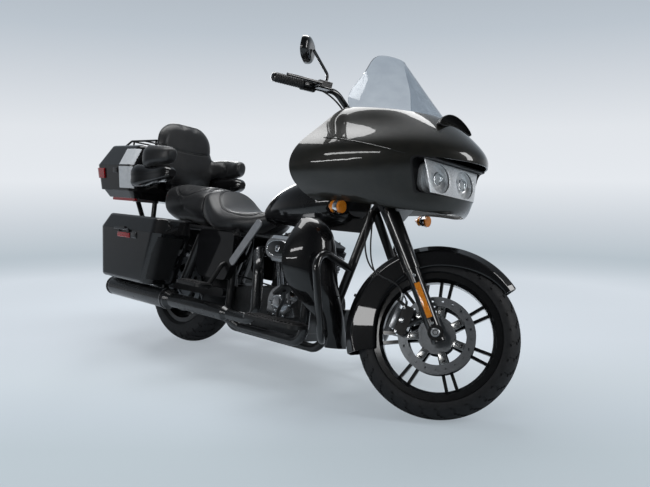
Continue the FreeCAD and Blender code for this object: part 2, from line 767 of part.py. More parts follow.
def lamp_lens(side):
    """One of the two reflector units, upright with a bowed top."""
    y = side * LENS_MIDDLE
    half = LENS_HALF
    low = LAMP_LOW + BUCKET_WALL + LENS_GAP * MIDDLE
    high = LAMP_HIGH - BUCKET_WALL - LENS_GAP * MIDDLE
    points = [V(LAMP_BACK, y - half, low), V(LAMP_BACK, y + half, low),
              V(LAMP_BACK, y + half, high), V(LAMP_BACK, y - half, high)]
    base = corner_wire(points, LENS_HALF * MIDDLE, True)
    return Part.Face(base).extrude(V(LENS_DEPTH, 0, 0))


LENS_MIDDLE = 92.0
LENS_HALF = 80.0

# Windshield
SHIELD_WALL = 4.0
SHIELD_FOOT = FAIRING_TOP + SEAT_GAP
SHIELD_TOP = 1462.0
SHIELD_LEVEL_SHARES = (
    # height, front x as a share of the slope, half width
    (0.0, 0.0, 1.0),
    (0.35, 0.36, 0.90),
    (0.62, 0.63, 0.72),
    (0.80, 0.81, 0.60),
    (0.93, 0.94, 0.49),
    (1.0, 1.0, 0.33),
)
SHIELD_FOOT_X = 1512.0
SHIELD_TOP_X = 1282.0
SHIELD_HALF = 238.0
SHIELD_WRAP = 268.0


def shield_wire(height, slope, width, wall):
    """Level crescent of the screen: an outer and an inner arc."""
    z = SHIELD_FOOT + (SHIELD_TOP - SHIELD_FOOT) * height
    x = SHIELD_FOOT_X + (SHIELD_TOP_X - SHIELD_FOOT_X) * slope
    half = SHIELD_HALF * width
    back = SHIELD_WRAP * width * width
    outer = Part.Arc(V(x - back, -half, z), V(x, 0, z), V(x - back, half, z))
    inner = Part.Arc(V(x - back, half - wall, z), V(x - wall, 0, z), V(x - back, -half + wall, z))
    closing = Part.LineSegment(V(x - back, half, z), V(x - back, half - wall, z))
    opening = Part.LineSegment(V(x - back, -half + wall, z), V(x - back, -half, z))
    return Part.Wire([edge.toShape() for edge in (outer, closing, inner, opening)])


def make_windshield():
    wires = [shield_wire(h, s, w, SHIELD_WALL) for h, s, w in SHIELD_LEVEL_SHARES]
    keep("windshield", loft(wires))


# Dash behind the screen
DASH_BACK = 1395.0
DASH_THICK = 14.0


def make_dash():
    """Inner panel that closes the fairing ahead of the bars, with four dials and two speakers."""
    low = DASH_LOW
    high = FAIRING_TOP - FAIRING_WALL - DASH_THICK
    room = fairing_hollow()
    slice_box = Part.makeBox(DASH_THICK, FAIRING_HALF + FAIRING_HALF, high - low, V(DASH_BACK, -FAIRING_HALF, low))
    panel = room.common(slice_box)
    dials = []
    for y_share in DIAL_SHARES:
        y = FAIRING_HALF * y_share
        dials.append(rod(V(DASH_BACK, y, DIAL_HEIGHT), V(DASH_BACK - DIAL_PROUD, y, DIAL_HEIGHT), DIAL_RADIUS))
    for side in (-1, 1):
        y = side * FAIRING_HALF * SPEAKER_SHARE
        dials.append(rod(V(DASH_BACK, y, SPEAKER_HEIGHT), V(DASH_BACK - DIAL_PROUD, y, SPEAKER_HEIGHT), SPEAKER_RADIUS))
    keep("dash", joined([panel] + dials))


DASH_LOW = 985.0
DIAL_SHARES = (-0.36, -0.13, 0.13, 0.36)
DIAL_HEIGHT = 1142.0
DIAL_RADIUS = 40.0
DIAL_PROUD = 16.0
SPEAKER_SHARE = 0.54
SPEAKER_HEIGHT = 1062.0
SPEAKER_RADIUS = 50.0

# Frame
FRAME_TUBE = 19.0
RAIL_Y = 150.0
RAIL_Z = 178.0
FRAME_BEND = 70.0
BACKBONE_HALF = 22.0
BACKBONE_LOW = 700.0
BACKBONE_HIGH = 762.0
SEAT_TUBE = 14.0
SEAT_RAIL_Y = 140.0
SEAT_RAIL_Z = 640.0
UPRIGHT_X = 505.0
REAR_RAIL_END = -380.0


def make_frame():
    low, high = neck_ends()
    head = rod(low, high, NECK_RADIUS)
    head = head.cut(rod(low - AXIS_UP * OVERRUN, high + AXIS_UP * OVERRUN, STEM_RADIUS + RUNNING_GAP))
    head_mid = blend_between(low, high, MIDDLE)
    gusset_x = head_mid.x - NECK_RADIUS * MIDDLE
    spine = slab([(GUSSET_FRONT, GUSSET_LOW), (gusset_x, GUSSET_HIGH),
                  (GUSSET_REAR, BACKBONE_HIGH), (SPINE_BEND_X, BACKBONE_HIGH), (UPRIGHT_X - FRAME_TUBE, SPINE_END_Z),
                  (UPRIGHT_X - FRAME_TUBE, SEAT_RAIL_Z), (UPRIGHT_X + FRAME_TUBE, SEAT_RAIL_Z),
                  (SPINE_BEND_X, BACKBONE_LOW), (GUSSET_REAR, BACKBONE_LOW), (GUSSET_KNEE_X, GUSSET_KNEE_Z)],
                 -BACKBONE_HALF, BACKBONE_HALF)
    spine = spine.cut(rod(low - AXIS_UP * OVERRUN, high + AXIS_UP * OVERRUN, NECK_RADIUS))
    cradles = []
    for side in (-1, 1):
        y = side * RAIL_Y
        top = V(DOWNTUBE_TOP_X, side * BACKBONE_HALF * MIDDLE, DOWNTUBE_TOP)
        path = [top, V(DOWNTUBE_KNEE_X, y, DOWNTUBE_KNEE_Z), V(RAIL_FRONT, y, RAIL_Z),
                V(UPRIGHT_X, y, RAIL_Z), V(UPRIGHT_X, y, SEAT_RAIL_Z)]
        cradles.append(tube(path, FRAME_TUBE, FRAME_BEND))
    cross = rod(V(UPRIGHT_X + FRAME_TUBE, -RAIL_Y, RAIL_Z), V(UPRIGHT_X + FRAME_TUBE, RAIL_Y, RAIL_Z), SEAT_TUBE)
    cross.translate(V(FRAME_BEND, 0, 0))
    top_cross = rod(V(UPRIGHT_X, -RAIL_Y, SEAT_RAIL_Z), V(UPRIGHT_X, RAIL_Y, SEAT_RAIL_Z), FRAME_TUBE)
    pivot = rod(V(ARM_PIVOT.x, -PIVOT_HALF, ARM_PIVOT.z), V(ARM_PIVOT.x, PIVOT_HALF, ARM_PIVOT.z), PIVOT_RADIUS)
    plates = []
    for side in (-1, 1):
        y = side * (PIVOT_HALF - PIVOT_PLATE * MIDDLE)
        outline = [(ARM_PIVOT.x - PIVOT_RADIUS, ARM_PIVOT.z - PIVOT_RADIUS), (UPRIGHT_X, ARM_PIVOT.z - PIVOT_RADIUS - PIVOT_RADIUS),
                   (UPRIGHT_X, ARM_PIVOT.z + PIVOT_RADIUS + PIVOT_RADIUS), (ARM_PIVOT.x - PIVOT_RADIUS, ARM_PIVOT.z + PIVOT_RADIUS)]
        plates.append(slab(outline, y - PIVOT_PLATE * MIDDLE, y + PIVOT_PLATE * MIDDLE))
    keep("frame", joined([head, spine] + cradles + [cross, top_cross, pivot] + plates + stand_lug()))
    rails = []
    for side in (-1, 1):
        y = side * SEAT_RAIL_Y
        rails.append(rod(V(UPRIGHT_X - FRAME_TUBE, y, SEAT_RAIL_Z), V(REAR_RAIL_END, y, SEAT_RAIL_Z), SEAT_TUBE))
        post_foot = V(CASE_POST_X, y, SEAT_RAIL_Z)
        rails.append(rod(post_foot, V(CASE_POST_X, y, BASE_LOW + SEAT_TUBE), SEAT_TUBE))
        rear_foot = V(REAR_RAIL_END + SEAT_TUBE, y, SEAT_RAIL_Z)
        rails.append(rod(rear_foot, V(CASE_POST_REAR, y, BASE_LOW + SEAT_TUBE), SEAT_TUBE))
        shelf_z = BASE_LOW - SEAT_GAP
        rails.append(Part.makeBox(CASE_POST_X - CASE_POST_REAR + SEAT_TUBE + SEAT_TUBE, SEAT_TUBE + SEAT_TUBE, SEAT_TUBE,
                                  V(CASE_POST_REAR - SEAT_TUBE, y - SEAT_TUBE, shelf_z - SEAT_TUBE)))
        head = V(SHOCK_HEAD.x, side * SHOCK_Y, SHOCK_HEAD.z)
        rails.append(rod(V(SHOCK_HEAD.x, y, SEAT_RAIL_Z), head, SEAT_TUBE))
    tie = rod(V(REAR_RAIL_END, -SEAT_RAIL_Y, SEAT_RAIL_Z), V(REAR_RAIL_END, SEAT_RAIL_Y, SEAT_RAIL_Z), SEAT_TUBE)
    frame = joined(rails + [tie])
    above = Part.makeBox(BAG_FRONT - CASE_REAR, CASE_HALF + CASE_HALF, CASE_BOTTOM, V(CASE_REAR, -CASE_HALF, BASE_LOW - SEAT_GAP))
    frame = frame.cut(above)
    for side in (-1, 1):
        frame = frame.cut(shock(side))
    keep("rear_frame", max(frame.Solids, key=lambda solid: solid.Volume))


GUSSET_FRONT = 1380.0
GUSSET_LOW = 874.0
GUSSET_HIGH = 938.0
GUSSET_KNEE_X = 1255.0
GUSSET_KNEE_Z = 814.0
SPINE_BEND_X = 690.0
SPINE_END_Z = 668.0
PIVOT_HALF = 132.0
PIVOT_RADIUS = 16.0
PIVOT_PLATE = 6.0
GUSSET_REAR = 1190.0
DOWNTUBE_TOP = 796.0
DOWNTUBE_TOP_X = 1232.0
DOWNTUBE_KNEE_X = 1268.0
DOWNTUBE_KNEE_Z = 560.0
RAIL_FRONT = 1135.0
CASE_POST_X = -270.0
CASE_POST_REAR = -470.0

# Swingarm, shocks and rear axle
ARM_Y = 150.0
ARM_HALF_WIDE = 12.0
ARM_HIGH = 46.0
ARM_PIVOT = V(440.0, 0, 330.0)
SHOCK_RADIUS = 25.0
SHOCK_FOOT = V(120.0, 0, 340.0)
SHOCK_HEAD = V(235.0, 0, 600.0)
AXLE_PROUD = 12.0


def shock(side, extra=0):
    return rod(V(SHOCK_FOOT.x, side * SHOCK_Y, SHOCK_FOOT.z), V(SHOCK_HEAD.x, side * SHOCK_Y, SHOCK_HEAD.z),
               SHOCK_RADIUS + extra)


def make_swingarm():
    """Both arms with the axle and the shock absorbers that stand on them."""
    half = ARM_HIGH * MIDDLE
    outline = [(-half, REAR_RADIUS - half), (ARM_PIVOT.x + half, ARM_PIVOT.z - half),
               (ARM_PIVOT.x + half, ARM_PIVOT.z + half), (-half, REAR_RADIUS + half)]
    shapes = []
    for side in (-1, 1):
        y = side * ARM_Y
        shapes.append(slab(outline, y - ARM_HALF_WIDE, y + ARM_HALF_WIDE, half))
        shapes.append(shock(side))
    end = ARM_Y + ARM_HALF_WIDE + AXLE_PROUD
    shapes.append(rod(V(0, -end, REAR_RADIUS), V(0, end, REAR_RADIUS), AXLE_RADIUS))
    keep("swingarm", joined(shapes))


SHOCK_Y = 156.0

# Engine
CRANK = V(860.0, 0, 330.0)
V_HALF_ANGLE = 22.5
CASE_RIGHT = -125.0
CASE_LEFT = 125.0
ENGINE_LOW = 205.0
ENGINE_TOP = 396.0
ENGINE_FRONT = 1030.0
ENGINE_MID = 655.0
ENGINE_REAR = 462.0
DECK_RADIUS = 76.0
DECK_HEIGHT = 122.0
BARREL_RADIUS = 60.0
BARREL_LONG = 118.0
FIN_HALF = 79.0
FIN_THICK = 4.0
FIN_COUNT = 8
FIN_CORNER = 34.0
HEAD_HIGH = 56.0
HEAD_HALF = 72.0
HEAD_FINS = 3
ROCKER_HIGH = 46.0
COVER_PROUD = 42.0
CAM_RADIUS = 78.0
CAM_CENTRE = V(876.0, 0, 342.0)
MEDALLION_RADIUS = 40.0
MEDALLION_PROUD = 7.0


def square_plate(centre, axis, half, thick, bend):
    """Rounded square plate square to an axis in the XZ plane."""
    across = V(axis.z, 0, -axis.x)
    corners = [centre + across * a + V(0, b, 0) for a, b in
               ((-half, -half), (half, -half), (half, half), (-half, half))]
    return Part.Face(corner_wire(corners, bend, True)).extrude(axis * thick)


def other_half(side):
    """Block beyond the engine's middle plane from the given bank."""
    gap = FIN_THICK * MIDDLE
    start = CRANK.x - gap if side < 0 else CRANK.x + gap - BARREL_LONG
    return Part.makeBox(BARREL_LONG, FIN_HALF + FIN_HALF + OVERRUN, ENGINE_TOP,
                        V(start, -FIN_HALF - OVERRUN * MIDDLE, CRANK.z))


def cylinder_bank(tilt):
    """Finned barrel, finned head and rocker cover, one above the other."""
    axis = V(sine(tilt), 0, cosine(tilt))
    base = CRANK + axis * DECK_HEIGHT
    shapes = [rod(base, base + axis * BARREL_LONG, BARREL_RADIUS)]
    pitch = BARREL_LONG / FIN_COUNT
    for number in range(FIN_COUNT):
        foot = base + axis * (pitch * (number + MIDDLE))
        shapes.append(square_plate(foot, axis, FIN_HALF, FIN_THICK, FIN_CORNER))
    head_base = base + axis * BARREL_LONG
    shapes.append(square_plate(head_base, axis, HEAD_HALF - FIN_THICK, HEAD_HIGH, FIN_CORNER))
    head_pitch = HEAD_HIGH / HEAD_FINS
    for number in range(HEAD_FINS):
        foot = head_base + axis * (head_pitch * (number + MIDDLE))
        shapes.append(square_plate(foot, axis, FIN_HALF, FIN_THICK, FIN_CORNER))
    return joined(shapes)


def rocker_cover(tilt):
    axis = V(sine(tilt), 0, cosine(tilt))
    base = CRANK + axis * (DECK_HEIGHT + BARREL_LONG + HEAD_HIGH)
    lower = square_plate(base, axis, HEAD_HALF, ROCKER_HIGH * MIDDLE, FIN_CORNER * MIDDLE)
    upper = square_plate(base + axis * ROCKER_HIGH * MIDDLE, axis, HEAD_HALF - COVER_STEP,
                         ROCKER_HIGH * MIDDLE, FIN_CORNER * MIDDLE)
    return joined([lower, upper])


COVER_STEP = 10.0


def make_engine():
    outline = [(ENGINE_REAR, ENGINE_LOW + CAM_RADIUS * MIDDLE), (ENGINE_MID, ENGINE_LOW),
               (ENGINE_FRONT - CAM_RADIUS, ENGINE_LOW), (ENGINE_FRONT, ENGINE_LOW + CAM_RADIUS),
               (ENGINE_FRONT - CAM_RADIUS * MIDDLE, ENGINE_TOP - CAM_RADIUS * MIDDLE),
               (CRANK.x, ENGINE_TOP), (ENGINE_MID, ENGINE_TOP),
               (ENGINE_REAR, ENGINE_TOP - CAM_RADIUS * MIDDLE)]
    case = slab(outline, CASE_RIGHT, CASE_LEFT, FIN_CORNER)
    decks = []
    for side in (-1, 1):
        axis = V(sine(side * V_HALF_ANGLE), 0, cosine(V_HALF_ANGLE))
        decks.append(rod(CRANK, CRANK + axis * DECK_HEIGHT, DECK_RADIUS).cut(other_half(side)))
    case = joined([case] + decks)
    case = case.cut(pulley_room())
    start = ENGINE_PULLEY_CENTRE + V(0, BELT_Y - PULLEY_WIDTH - FIN_THICK, 0)
    stop = ENGINE_PULLEY_CENTRE + V(0, BELT_Y + BELT_WIDTH * MIDDLE, 0)
    pan = slab([(ENGINE_MID, ENGINE_LOW + FIN_THICK), (ENGINE_FRONT - CAM_RADIUS, ENGINE_LOW + FIN_THICK),
                (ENGINE_FRONT - CAM_RADIUS - PAN_DROP, ENGINE_LOW - PAN_DROP), (ENGINE_MID, ENGINE_LOW - PAN_DROP)],
               -PAN_HALF, PAN_HALF)
    keep("crankcase", joined([case, rod(start, stop, ENGINE_PULLEY_RADIUS), pan]))
    cam = rod(CAM_CENTRE + V(0, CASE_RIGHT, 0), CAM_CENTRE + V(0, CASE_RIGHT - COVER_PROUD, 0), CAM_RADIUS)
    nose = slab([(CAM_CENTRE.x - CAM_RADIUS, CAM_CENTRE.z), (CAM_CENTRE.x + CAM_RADIUS, CAM_CENTRE.z),
                 (CAM_CENTRE.x + CAM_RADIUS + COVER_PROUD, CAM_CENTRE.z - CAM_RADIUS),
                 (CAM_CENTRE.x - CAM_RADIUS, CAM_CENTRE.z - CAM_RADIUS)],
                CASE_RIGHT - COVER_PROUD, CASE_RIGHT, FIN_CORNER)
    medallion = rod(CAM_CENTRE + V(0, CASE_RIGHT, 0), CAM_CENTRE + V(0, CASE_RIGHT - COVER_PROUD - MEDALLION_PROUD, 0),
                    MEDALLION_RADIUS)
    keep("cam_cover", joined([cam, nose, medallion] + pushrod_tubes()))
    banks = [cylinder_bank(side * V_HALF_ANGLE).cut(other_half(side)) for side in (-1, 1)]
    keep("cylinders", together(banks))
    keep("rocker_covers", together([rocker_cover(-V_HALF_ANGLE), rocker_cover(V_HALF_ANGLE)]))
    keep("primary_cover", primary_cover())


PAN_DROP = 42.0
PAN_HALF = 110.0
PRIMARY_PROUD = 78.0
PRIMARY_FRONT_RADIUS = 100.0
PRIMARY_REAR_RADIUS = 108.0
PRIMARY_REAR_X = 590.0
PRIMARY_CROWN = 14.0


def pulley_room():
    """Space in the case for the engine pulley and the belt at the left rear."""
    corner = V(ENGINE_REAR - OVERRUN, BELT_Y - PULLEY_WIDTH, ENGINE_PULLEY_CENTRE.z - ENGINE_PULLEY_RADIUS - OVERRUN)
    tall = ENGINE_PULLEY_RADIUS + ENGINE_PULLEY_RADIUS + OVERRUN + OVERRUN + OVERRUN + OVERRUN
    front = ENGINE_PULLEY_CENTRE.x + ENGINE_PULLEY_RADIUS + BELT_THICK + MOVING_GAP
    return Part.makeBox(front - corner.x, CASE_LEFT - corner.y + OVERRUN, tall, corner)


def primary_cover():
    """Long oval cover over the clutch and crank end on the left."""
    low = CASE_LEFT
    high = CASE_LEFT + PRIMARY_PROUD
    front = rod(V(CRANK.x, low, CRANK.z), V(CRANK.x, high, CRANK.z), PRIMARY_FRONT_RADIUS)
    rear_z = CRANK.z
    rear = rod(V(PRIMARY_REAR_X, low, rear_z), V(PRIMARY_REAR_X, high, rear_z), PRIMARY_REAR_RADIUS)
    bridge = slab([(PRIMARY_REAR_X, rear_z - PRIMARY_REAR_RADIUS), (CRANK.x, CRANK.z - PRIMARY_FRONT_RADIUS),
                   (CRANK.x, CRANK.z + PRIMARY_FRONT_RADIUS), (PRIMARY_REAR_X, rear_z + PRIMARY_REAR_RADIUS)],
                  low, high)
    cover = joined([front, rear, bridge])
    plate = Part.makeBox(UPRIGHT_X - ARM_PIVOT.x + FRAME_TUBE, PIVOT_HALF - CASE_LEFT + SEAT_GAP + SEAT_GAP,
                         PRIMARY_REAR_RADIUS, V(ARM_PIVOT.x, CASE_LEFT - SEAT_GAP, ARM_PIVOT.z - PRIMARY_REAR_RADIUS * MIDDLE))
    return cover.cut(tube_clear()).cut(plate)


def tube_clear():
    """Upright frame tube, grown by the seat gap, so that the cover wraps it."""
    y = RAIL_Y
    upright = rod(V(UPRIGHT_X, y, RAIL_Z), V(UPRIGHT_X, y, SEAT_RAIL_Z), FRAME_TUBE + SEAT_GAP)
    return upright


ROD_TUBE = 11.0
ROD_SPREAD = 22.0


def pushrod_tubes():
    """Two pairs of tubes from the cam chest up to the heads, on the right."""
    tubes = []
    y = CASE_RIGHT + PUSHROD_INSET
    for tilt, lean in ((-V_HALF_ANGLE, -1), (V_HALF_ANGLE, 1)):
        axis = V(sine(tilt), 0, cosine(tilt))
        for shift in (-1, 1):
            foot = CAM_CENTRE + V(lean * ROD_SPREAD + shift * ROD_TUBE * ROD_PAIR, 0, CAM_RADIUS * ROD_FOOT_SHARE)
            head = CRANK + axis * (DECK_HEIGHT + BARREL_LONG) + V(shift * ROD_TUBE * ROD_PAIR, 0, 0)
            head_y = -FIN_HALF - ROD_TUBE - SEAT_GAP
            tubes.append(rod(V(foot.x, y, foot.z), V(head.x, head_y, head.z), ROD_TUBE))
    return tubes


PUSHROD_INSET = -16.0
ROD_PAIR = 1.3
ROD_FOOT_SHARE = 0.85

# Air cleaner
CLEANER_CENTRE = V(905.0, 0, 590.0)
CLEANER_HALF_LONG = 98.0
CLEANER_HALF_HIGH = 58.0
CLEANER_INNER = -155.0
CLEANER_OUTER = -238.0
CLEANER_TAPER = 14.0
INTAKE_RADIUS = 15.0


def cleaner_section(y, inset):
    corners = [V(CLEANER_CENTRE.x + a, y, CLEANER_CENTRE.z + b) for a, b in
               ((-CLEANER_HALF_LONG + inset, -CLEANER_HALF_HIGH + inset),
                (CLEANER_HALF_LONG - inset, -CLEANER_HALF_HIGH + inset),
                (CLEANER_HALF_LONG - inset, CLEANER_HALF_HIGH - inset),
                (-CLEANER_HALF_LONG + inset, CLEANER_HALF_HIGH - inset))]
    return corner_wire(corners, CLEANER_HALF_HIGH, True)


def make_air_cleaner():
    waist = CLEANER_OUTER + CLEANER_TAPER
    back = loft([cleaner_section(CLEANER_INNER, 0), cleaner_section(waist, 0)], True)
    front = loft([cleaner_section(waist, 0), cleaner_section(CLEANER_OUTER, CLEANER_TAPER)], True)
    stub = rod(V(CRANK.x, CLEANER_INNER, CLEANER_CENTRE.z), V(CRANK.x, -FRAME_TUBE, CLEANER_CENTRE.z), INTAKE_RADIUS)
    keep("air_cleaner", joined([back, front, stub]))


# Exhaust
PIPE_RADIUS = 22.0
SHIELD_PIPE_RADIUS = 36.0
MUFFLER_RADIUS = 51.0
MUFFLER_Y = 280.0
MUFFLER_Z = 258.0
MUFFLER_FRONT = 190.0
MUFFLER_REAR = -372.0
MUFFLER_TIP = 26.0
MUFFLER_WALL = 4.0
CLAMP_LONG = 26.0
COLLECTOR_FRONT = 640.0
OUTLET_RADIUS = 42.0


def muffler(side):
    y = side * MUFFLER_Y
    front = V(MUFFLER_FRONT, y, MUFFLER_Z)
    rear = V(MUFFLER_REAR + MUFFLER_TIP, y, MUFFLER_Z)
    tip = V(MUFFLER_REAR, y, MUFFLER_Z)
    body = rod(front, rear, MUFFLER_RADIUS)
    end = cone(rear, tip, MUFFLER_RADIUS, OUTLET_RADIUS + MUFFLER_WALL)
    inlet = cone(front, front + FORWARD * CLAMP_LONG, MUFFLER_RADIUS, SHIELD_PIPE_RADIUS)
    shell = joined([body, end, inlet])
    outlet = rod(tip - FORWARD * OVERRUN, tip + FORWARD * OUTLET_DEPTH, OUTLET_RADIUS)
    return shell.cut(outlet)


OUTLET_DEPTH = 150.0


def exhaust_pipes():
    """Both headers, the collector pipe on the right and the crossover to the left muffler."""
    right_start = V(MUFFLER_FRONT + CLAMP_LONG, -MUFFLER_Y, MUFFLER_Z)
    collector_end = V(COLLECTOR_FRONT, -MUFFLER_Y, MUFFLER_Z)
    neck = collector_end + FORWARD * CLAMP_LONG
    shapes = [rod(right_start, collector_end, SHIELD_PIPE_RADIUS),
              cone(collector_end, neck, SHIELD_PIPE_RADIUS, HEADER_RADIUS)]
    rear_port = REAR_PORT + V(0, -FIN_HALF - SEAT_GAP, 0)
    rear_path = [neck, V(ELBOW_X, -MUFFLER_Y, MUFFLER_Z), V(ELBOW_X + RISE_RUN, -MUFFLER_Y, HEADER_TOP),
                 V(REAR_PORT.x, -PORT_OUT, REAR_PORT.z), rear_port]
    shapes.append(tube(rear_path, HEADER_RADIUS, PIPE_BEND))
    front_port = FRONT_PORT
    front_path = [front_port, front_port + FORWARD * PORT_STRAIGHT,
                  V(FRONT_PORT.x + PORT_STRAIGHT, -LOW_PIPE_Y, FRONT_PORT.z - PORT_STRAIGHT),
                  V(FRONT_PORT.x + PORT_STRAIGHT, -LOW_PIPE_Y, LOW_PIPE_Z),
                  V(COLLECTOR_FRONT + PIPE_BEND, -LOW_PIPE_Y, LOW_PIPE_Z),
                  V(COLLECTOR_FRONT - PIPE_BEND, -MUFFLER_Y, MUFFLER_Z)]
    shapes.append(tube(front_path, PIPE_RADIUS, PIPE_BEND))
    cross_path = [V(CROSSOVER_X, -MUFFLER_Y, MUFFLER_Z), V(CROSSOVER_X, -CROSSOVER_Y, CROSSOVER_Z),
                  V(CROSSOVER_X, CROSSOVER_Y, CROSSOVER_Z), V(CROSSOVER_X, MUFFLER_Y, MUFFLER_Z)]
    shapes.append(tube(cross_path, PIPE_RADIUS, PIPE_BEND))
    left_start = V(MUFFLER_FRONT + CLAMP_LONG, MUFFLER_Y, MUFFLER_Z)
    left_end = V(CROSSOVER_X + SHIELD_PIPE_RADIUS, MUFFLER_Y, MUFFLER_Z)
    shapes.append(rod(left_start, left_end, SHIELD_PIPE_RADIUS))
    return joined(shapes)


ELBOW_X = 852.0
RISE_RUN = -18.0
HEADER_TOP = 500.0
HEADER_RADIUS = 25.0
REAR_PORT = V(720.0, 0, 566.0)
PORT_OUT = 190.0
PORT_STRAIGHT = 52.0
FRONT_PORT = V(1056.0, -40.0, 566.0)
LOW_PIPE_Y = 232.0
LOW_PIPE_Z = 205.0
CROSSOVER_X = 420.0
CROSSOVER_Y = 190.0
CROSSOVER_Z = 222.0
PIPE_BEND = 60.0


# Fuel tank and its console
TANK_FRONT = 1140.0
TANK_REAR = 640.0
TANK_HALF = 168.0
TANK_STATION_SHARES = (
    # length from the rear, half width, low and high as shares of tank height
    (0.0, 0.62, 0.0, 0.36),
    (0.12, 0.78, -0.02, 0.56),
    (0.35, 0.96, -0.04, 0.80),
    (0.6, 1.0, -0.02, 0.95),
    (0.82, 0.94, 0.06, 1.0),
    (0.95, 0.74, 0.16, 0.97),
    (1.0, 0.52, 0.26, 0.90),
)
TANK_LOW = 705.0
TANK_HIGH = 958.0
TANK_COUNT = 16
TUNNEL_GAP = 4.0
CONSOLE_HALF = 45.0
CONSOLE_RISE = 16.0
CONSOLE_FRONT_SHARE = 0.78
CONSOLE_REAR_SHARE = 0.14
FUEL_DOOR_THICK = 5.0
FUEL_DOOR_INSET = 7.0


def tank_body():
    wires = []
    for along, width, low_share, high_share in TANK_STATION_SHARES:
        x = TANK_REAR + (TANK_FRONT - TANK_REAR) * along
        tall = TANK_HIGH - TANK_LOW
        low = TANK_LOW + tall * low_share
        high = TANK_LOW + tall * high_share
        centre = V(x, 0, (low + high) * MIDDLE)
        wires.append(round_section(centre, LEFT * TANK_HALF * width, UP * (high - low) * MIDDLE, 0.78, TANK_COUNT))
    return loft(wires)


def make_tank():
    body = tank_body()
    half = BACKBONE_HALF + TUNNEL_GAP
    tunnel = Part.makeBox(TANK_FRONT - TANK_REAR + OVERRUN + OVERRUN, half + half,
                          BACKBONE_HIGH + TUNNEL_GAP - BACKBONE_LOW + OVERRUN,
                          V(TANK_REAR - OVERRUN, -half, BACKBONE_LOW - OVERRUN))
    body = body.cut(tunnel)
    keep("fuel_tank", body)


def console_point(share, rise=0):
    """Point on the console's top line, over the tank's crown."""
    stations = [(along, high) for along, width, low, high in TANK_STATION_SHARES]
    tall = TANK_HIGH - TANK_LOW
    for first, second in zip(stations, stations[1:]):
        if first[0] <= share <= second[0]:
            part_way = (share - first[0]) / (second[0] - first[0])
            height = first[1] + (second[1] - first[1]) * part_way
            return V(TANK_REAR + (TANK_FRONT - TANK_REAR) * share, 0, TANK_LOW + tall * height + rise)


def make_console():
    """Raised strip along the top of the tank, with a hinged door over the filler."""
    shares = (CONSOLE_REAR_SHARE, 0.3, 0.45, 0.6, CONSOLE_FRONT_SHARE)
    top = [console_point(share, CONSOLE_RISE) for share in shares]
    low = [console_point(share, -CONSOLE_SINK) for share in reversed(shares)]
    outline = [(p.x, p.z) for p in top + low]
    strip = slab(outline, -CONSOLE_HALF, CONSOLE_HALF)
    door_rear, door_front = door_ends()
    along = unit(door_front - door_rear)
    lift = V(-along.z, 0, along.x)
    pocket = door_slab(door_rear - along * DOOR_GAP, door_front + along * DOOR_GAP, lift, FUEL_DOOR_THICK,
                       CONSOLE_HALF - FUEL_DOOR_INSET + DOOR_GAP, OVERRUN)
    room = door_knuckle(door_front, DOOR_GAP)
    keep("fuel_tank", joined([pieces["fuel_tank"], strip]).cut(pocket).cut(room))
    door = door_slab(door_rear, door_front, lift, FUEL_DOOR_THICK - SEAT_GAP,
                     CONSOLE_HALF - FUEL_DOOR_INSET, FUEL_DOOR_THICK - SEAT_GAP)
    keep("fuel_door", joined([door, door_knuckle(door_front, 0)]), "fuel_door")


CONSOLE_SINK = 40.0
DOOR_GAP = 1.0
DOOR_KNUCKLE = 4.0


def door_ends():
    """Rear and front ends of the fuel door on the console's surface."""
    first = console_point(0.45, CONSOLE_RISE)
    second = console_point(0.6, CONSOLE_RISE)
    along = unit(second - first)
    rear = first + along * DOOR_KNUCKLE
    return rear, rear + along * (second - first).Length * DOOR_LONG_SHARE


DOOR_LONG_SHARE = 0.9
DOOR_BARREL = 3.5
DOOR_BARREL_SHARE = 0.7


def door_knuckle(front, extra):
    """Barrel across the door's front edge; extra makes the room for it in the console."""
    half = (CONSOLE_HALF - FUEL_DOOR_INSET) * DOOR_BARREL_SHARE + extra
    return rod(V(front.x, -half, front.z), V(front.x, half, front.z), DOOR_BARREL + extra)


def door_slab(rear, front, lift, sunk, half, thick):
    base = [rear - lift * sunk, front - lift * sunk, front + lift * (thick - sunk), rear + lift * (thick - sunk)]
    points = [V(p.x, -half, p.z) for p in base]
    return Part.Face(polygon(points)).extrude(V(0, half + half, 0))


# Seats and backrest
SEAT_HALF = 195.0
RIDER_FRONT = 672.0
RIDER_REAR = 205.0
SEAT_BASE = 656.0
RIDER_STATION_SHARES = (
    # length from the rear, half width, low, high as shares of seat height
    (0.0, 0.80, 0.0, 1.0),
    (0.08, 0.92, -0.05, 1.02),
    (0.2, 1.0, -0.12, 0.80),
    (0.45, 1.0, -0.13, 0.47),
    (0.7, 0.84, -0.08, 0.45),
    (0.9, 0.56, 0.1, 0.56),
    (1.0, 0.40, 0.25, 0.62),
)
SEAT_TALL = 200.0
PASSENGER_REAR = -190.0
PASSENGER_STATION_SHARES = (
    (0.0, 0.66, 0.25, 1.0),
    (0.15, 0.82, 0.08, 1.08),
    (0.6, 0.86, 0.0, 1.05),
    (0.9, 0.86, 0.0, 1.02),
    (1.0, 0.82, 0.02, 0.98),
)


def seat_body(rear, front, stations):
    wires = []
    for along, width, low_share, high_share in stations:
        x = rear + (front - rear) * along
        low = SEAT_BASE + SEAT_TALL * low_share
        high = SEAT_BASE + SEAT_TALL * high_share
        centre = V(x, 0, (low + high) * MIDDLE)
        wires.append(round_section(centre, LEFT * SEAT_HALF * width, UP * (high - low) * MIDDLE, 0.7, 12))
    return loft(wires)


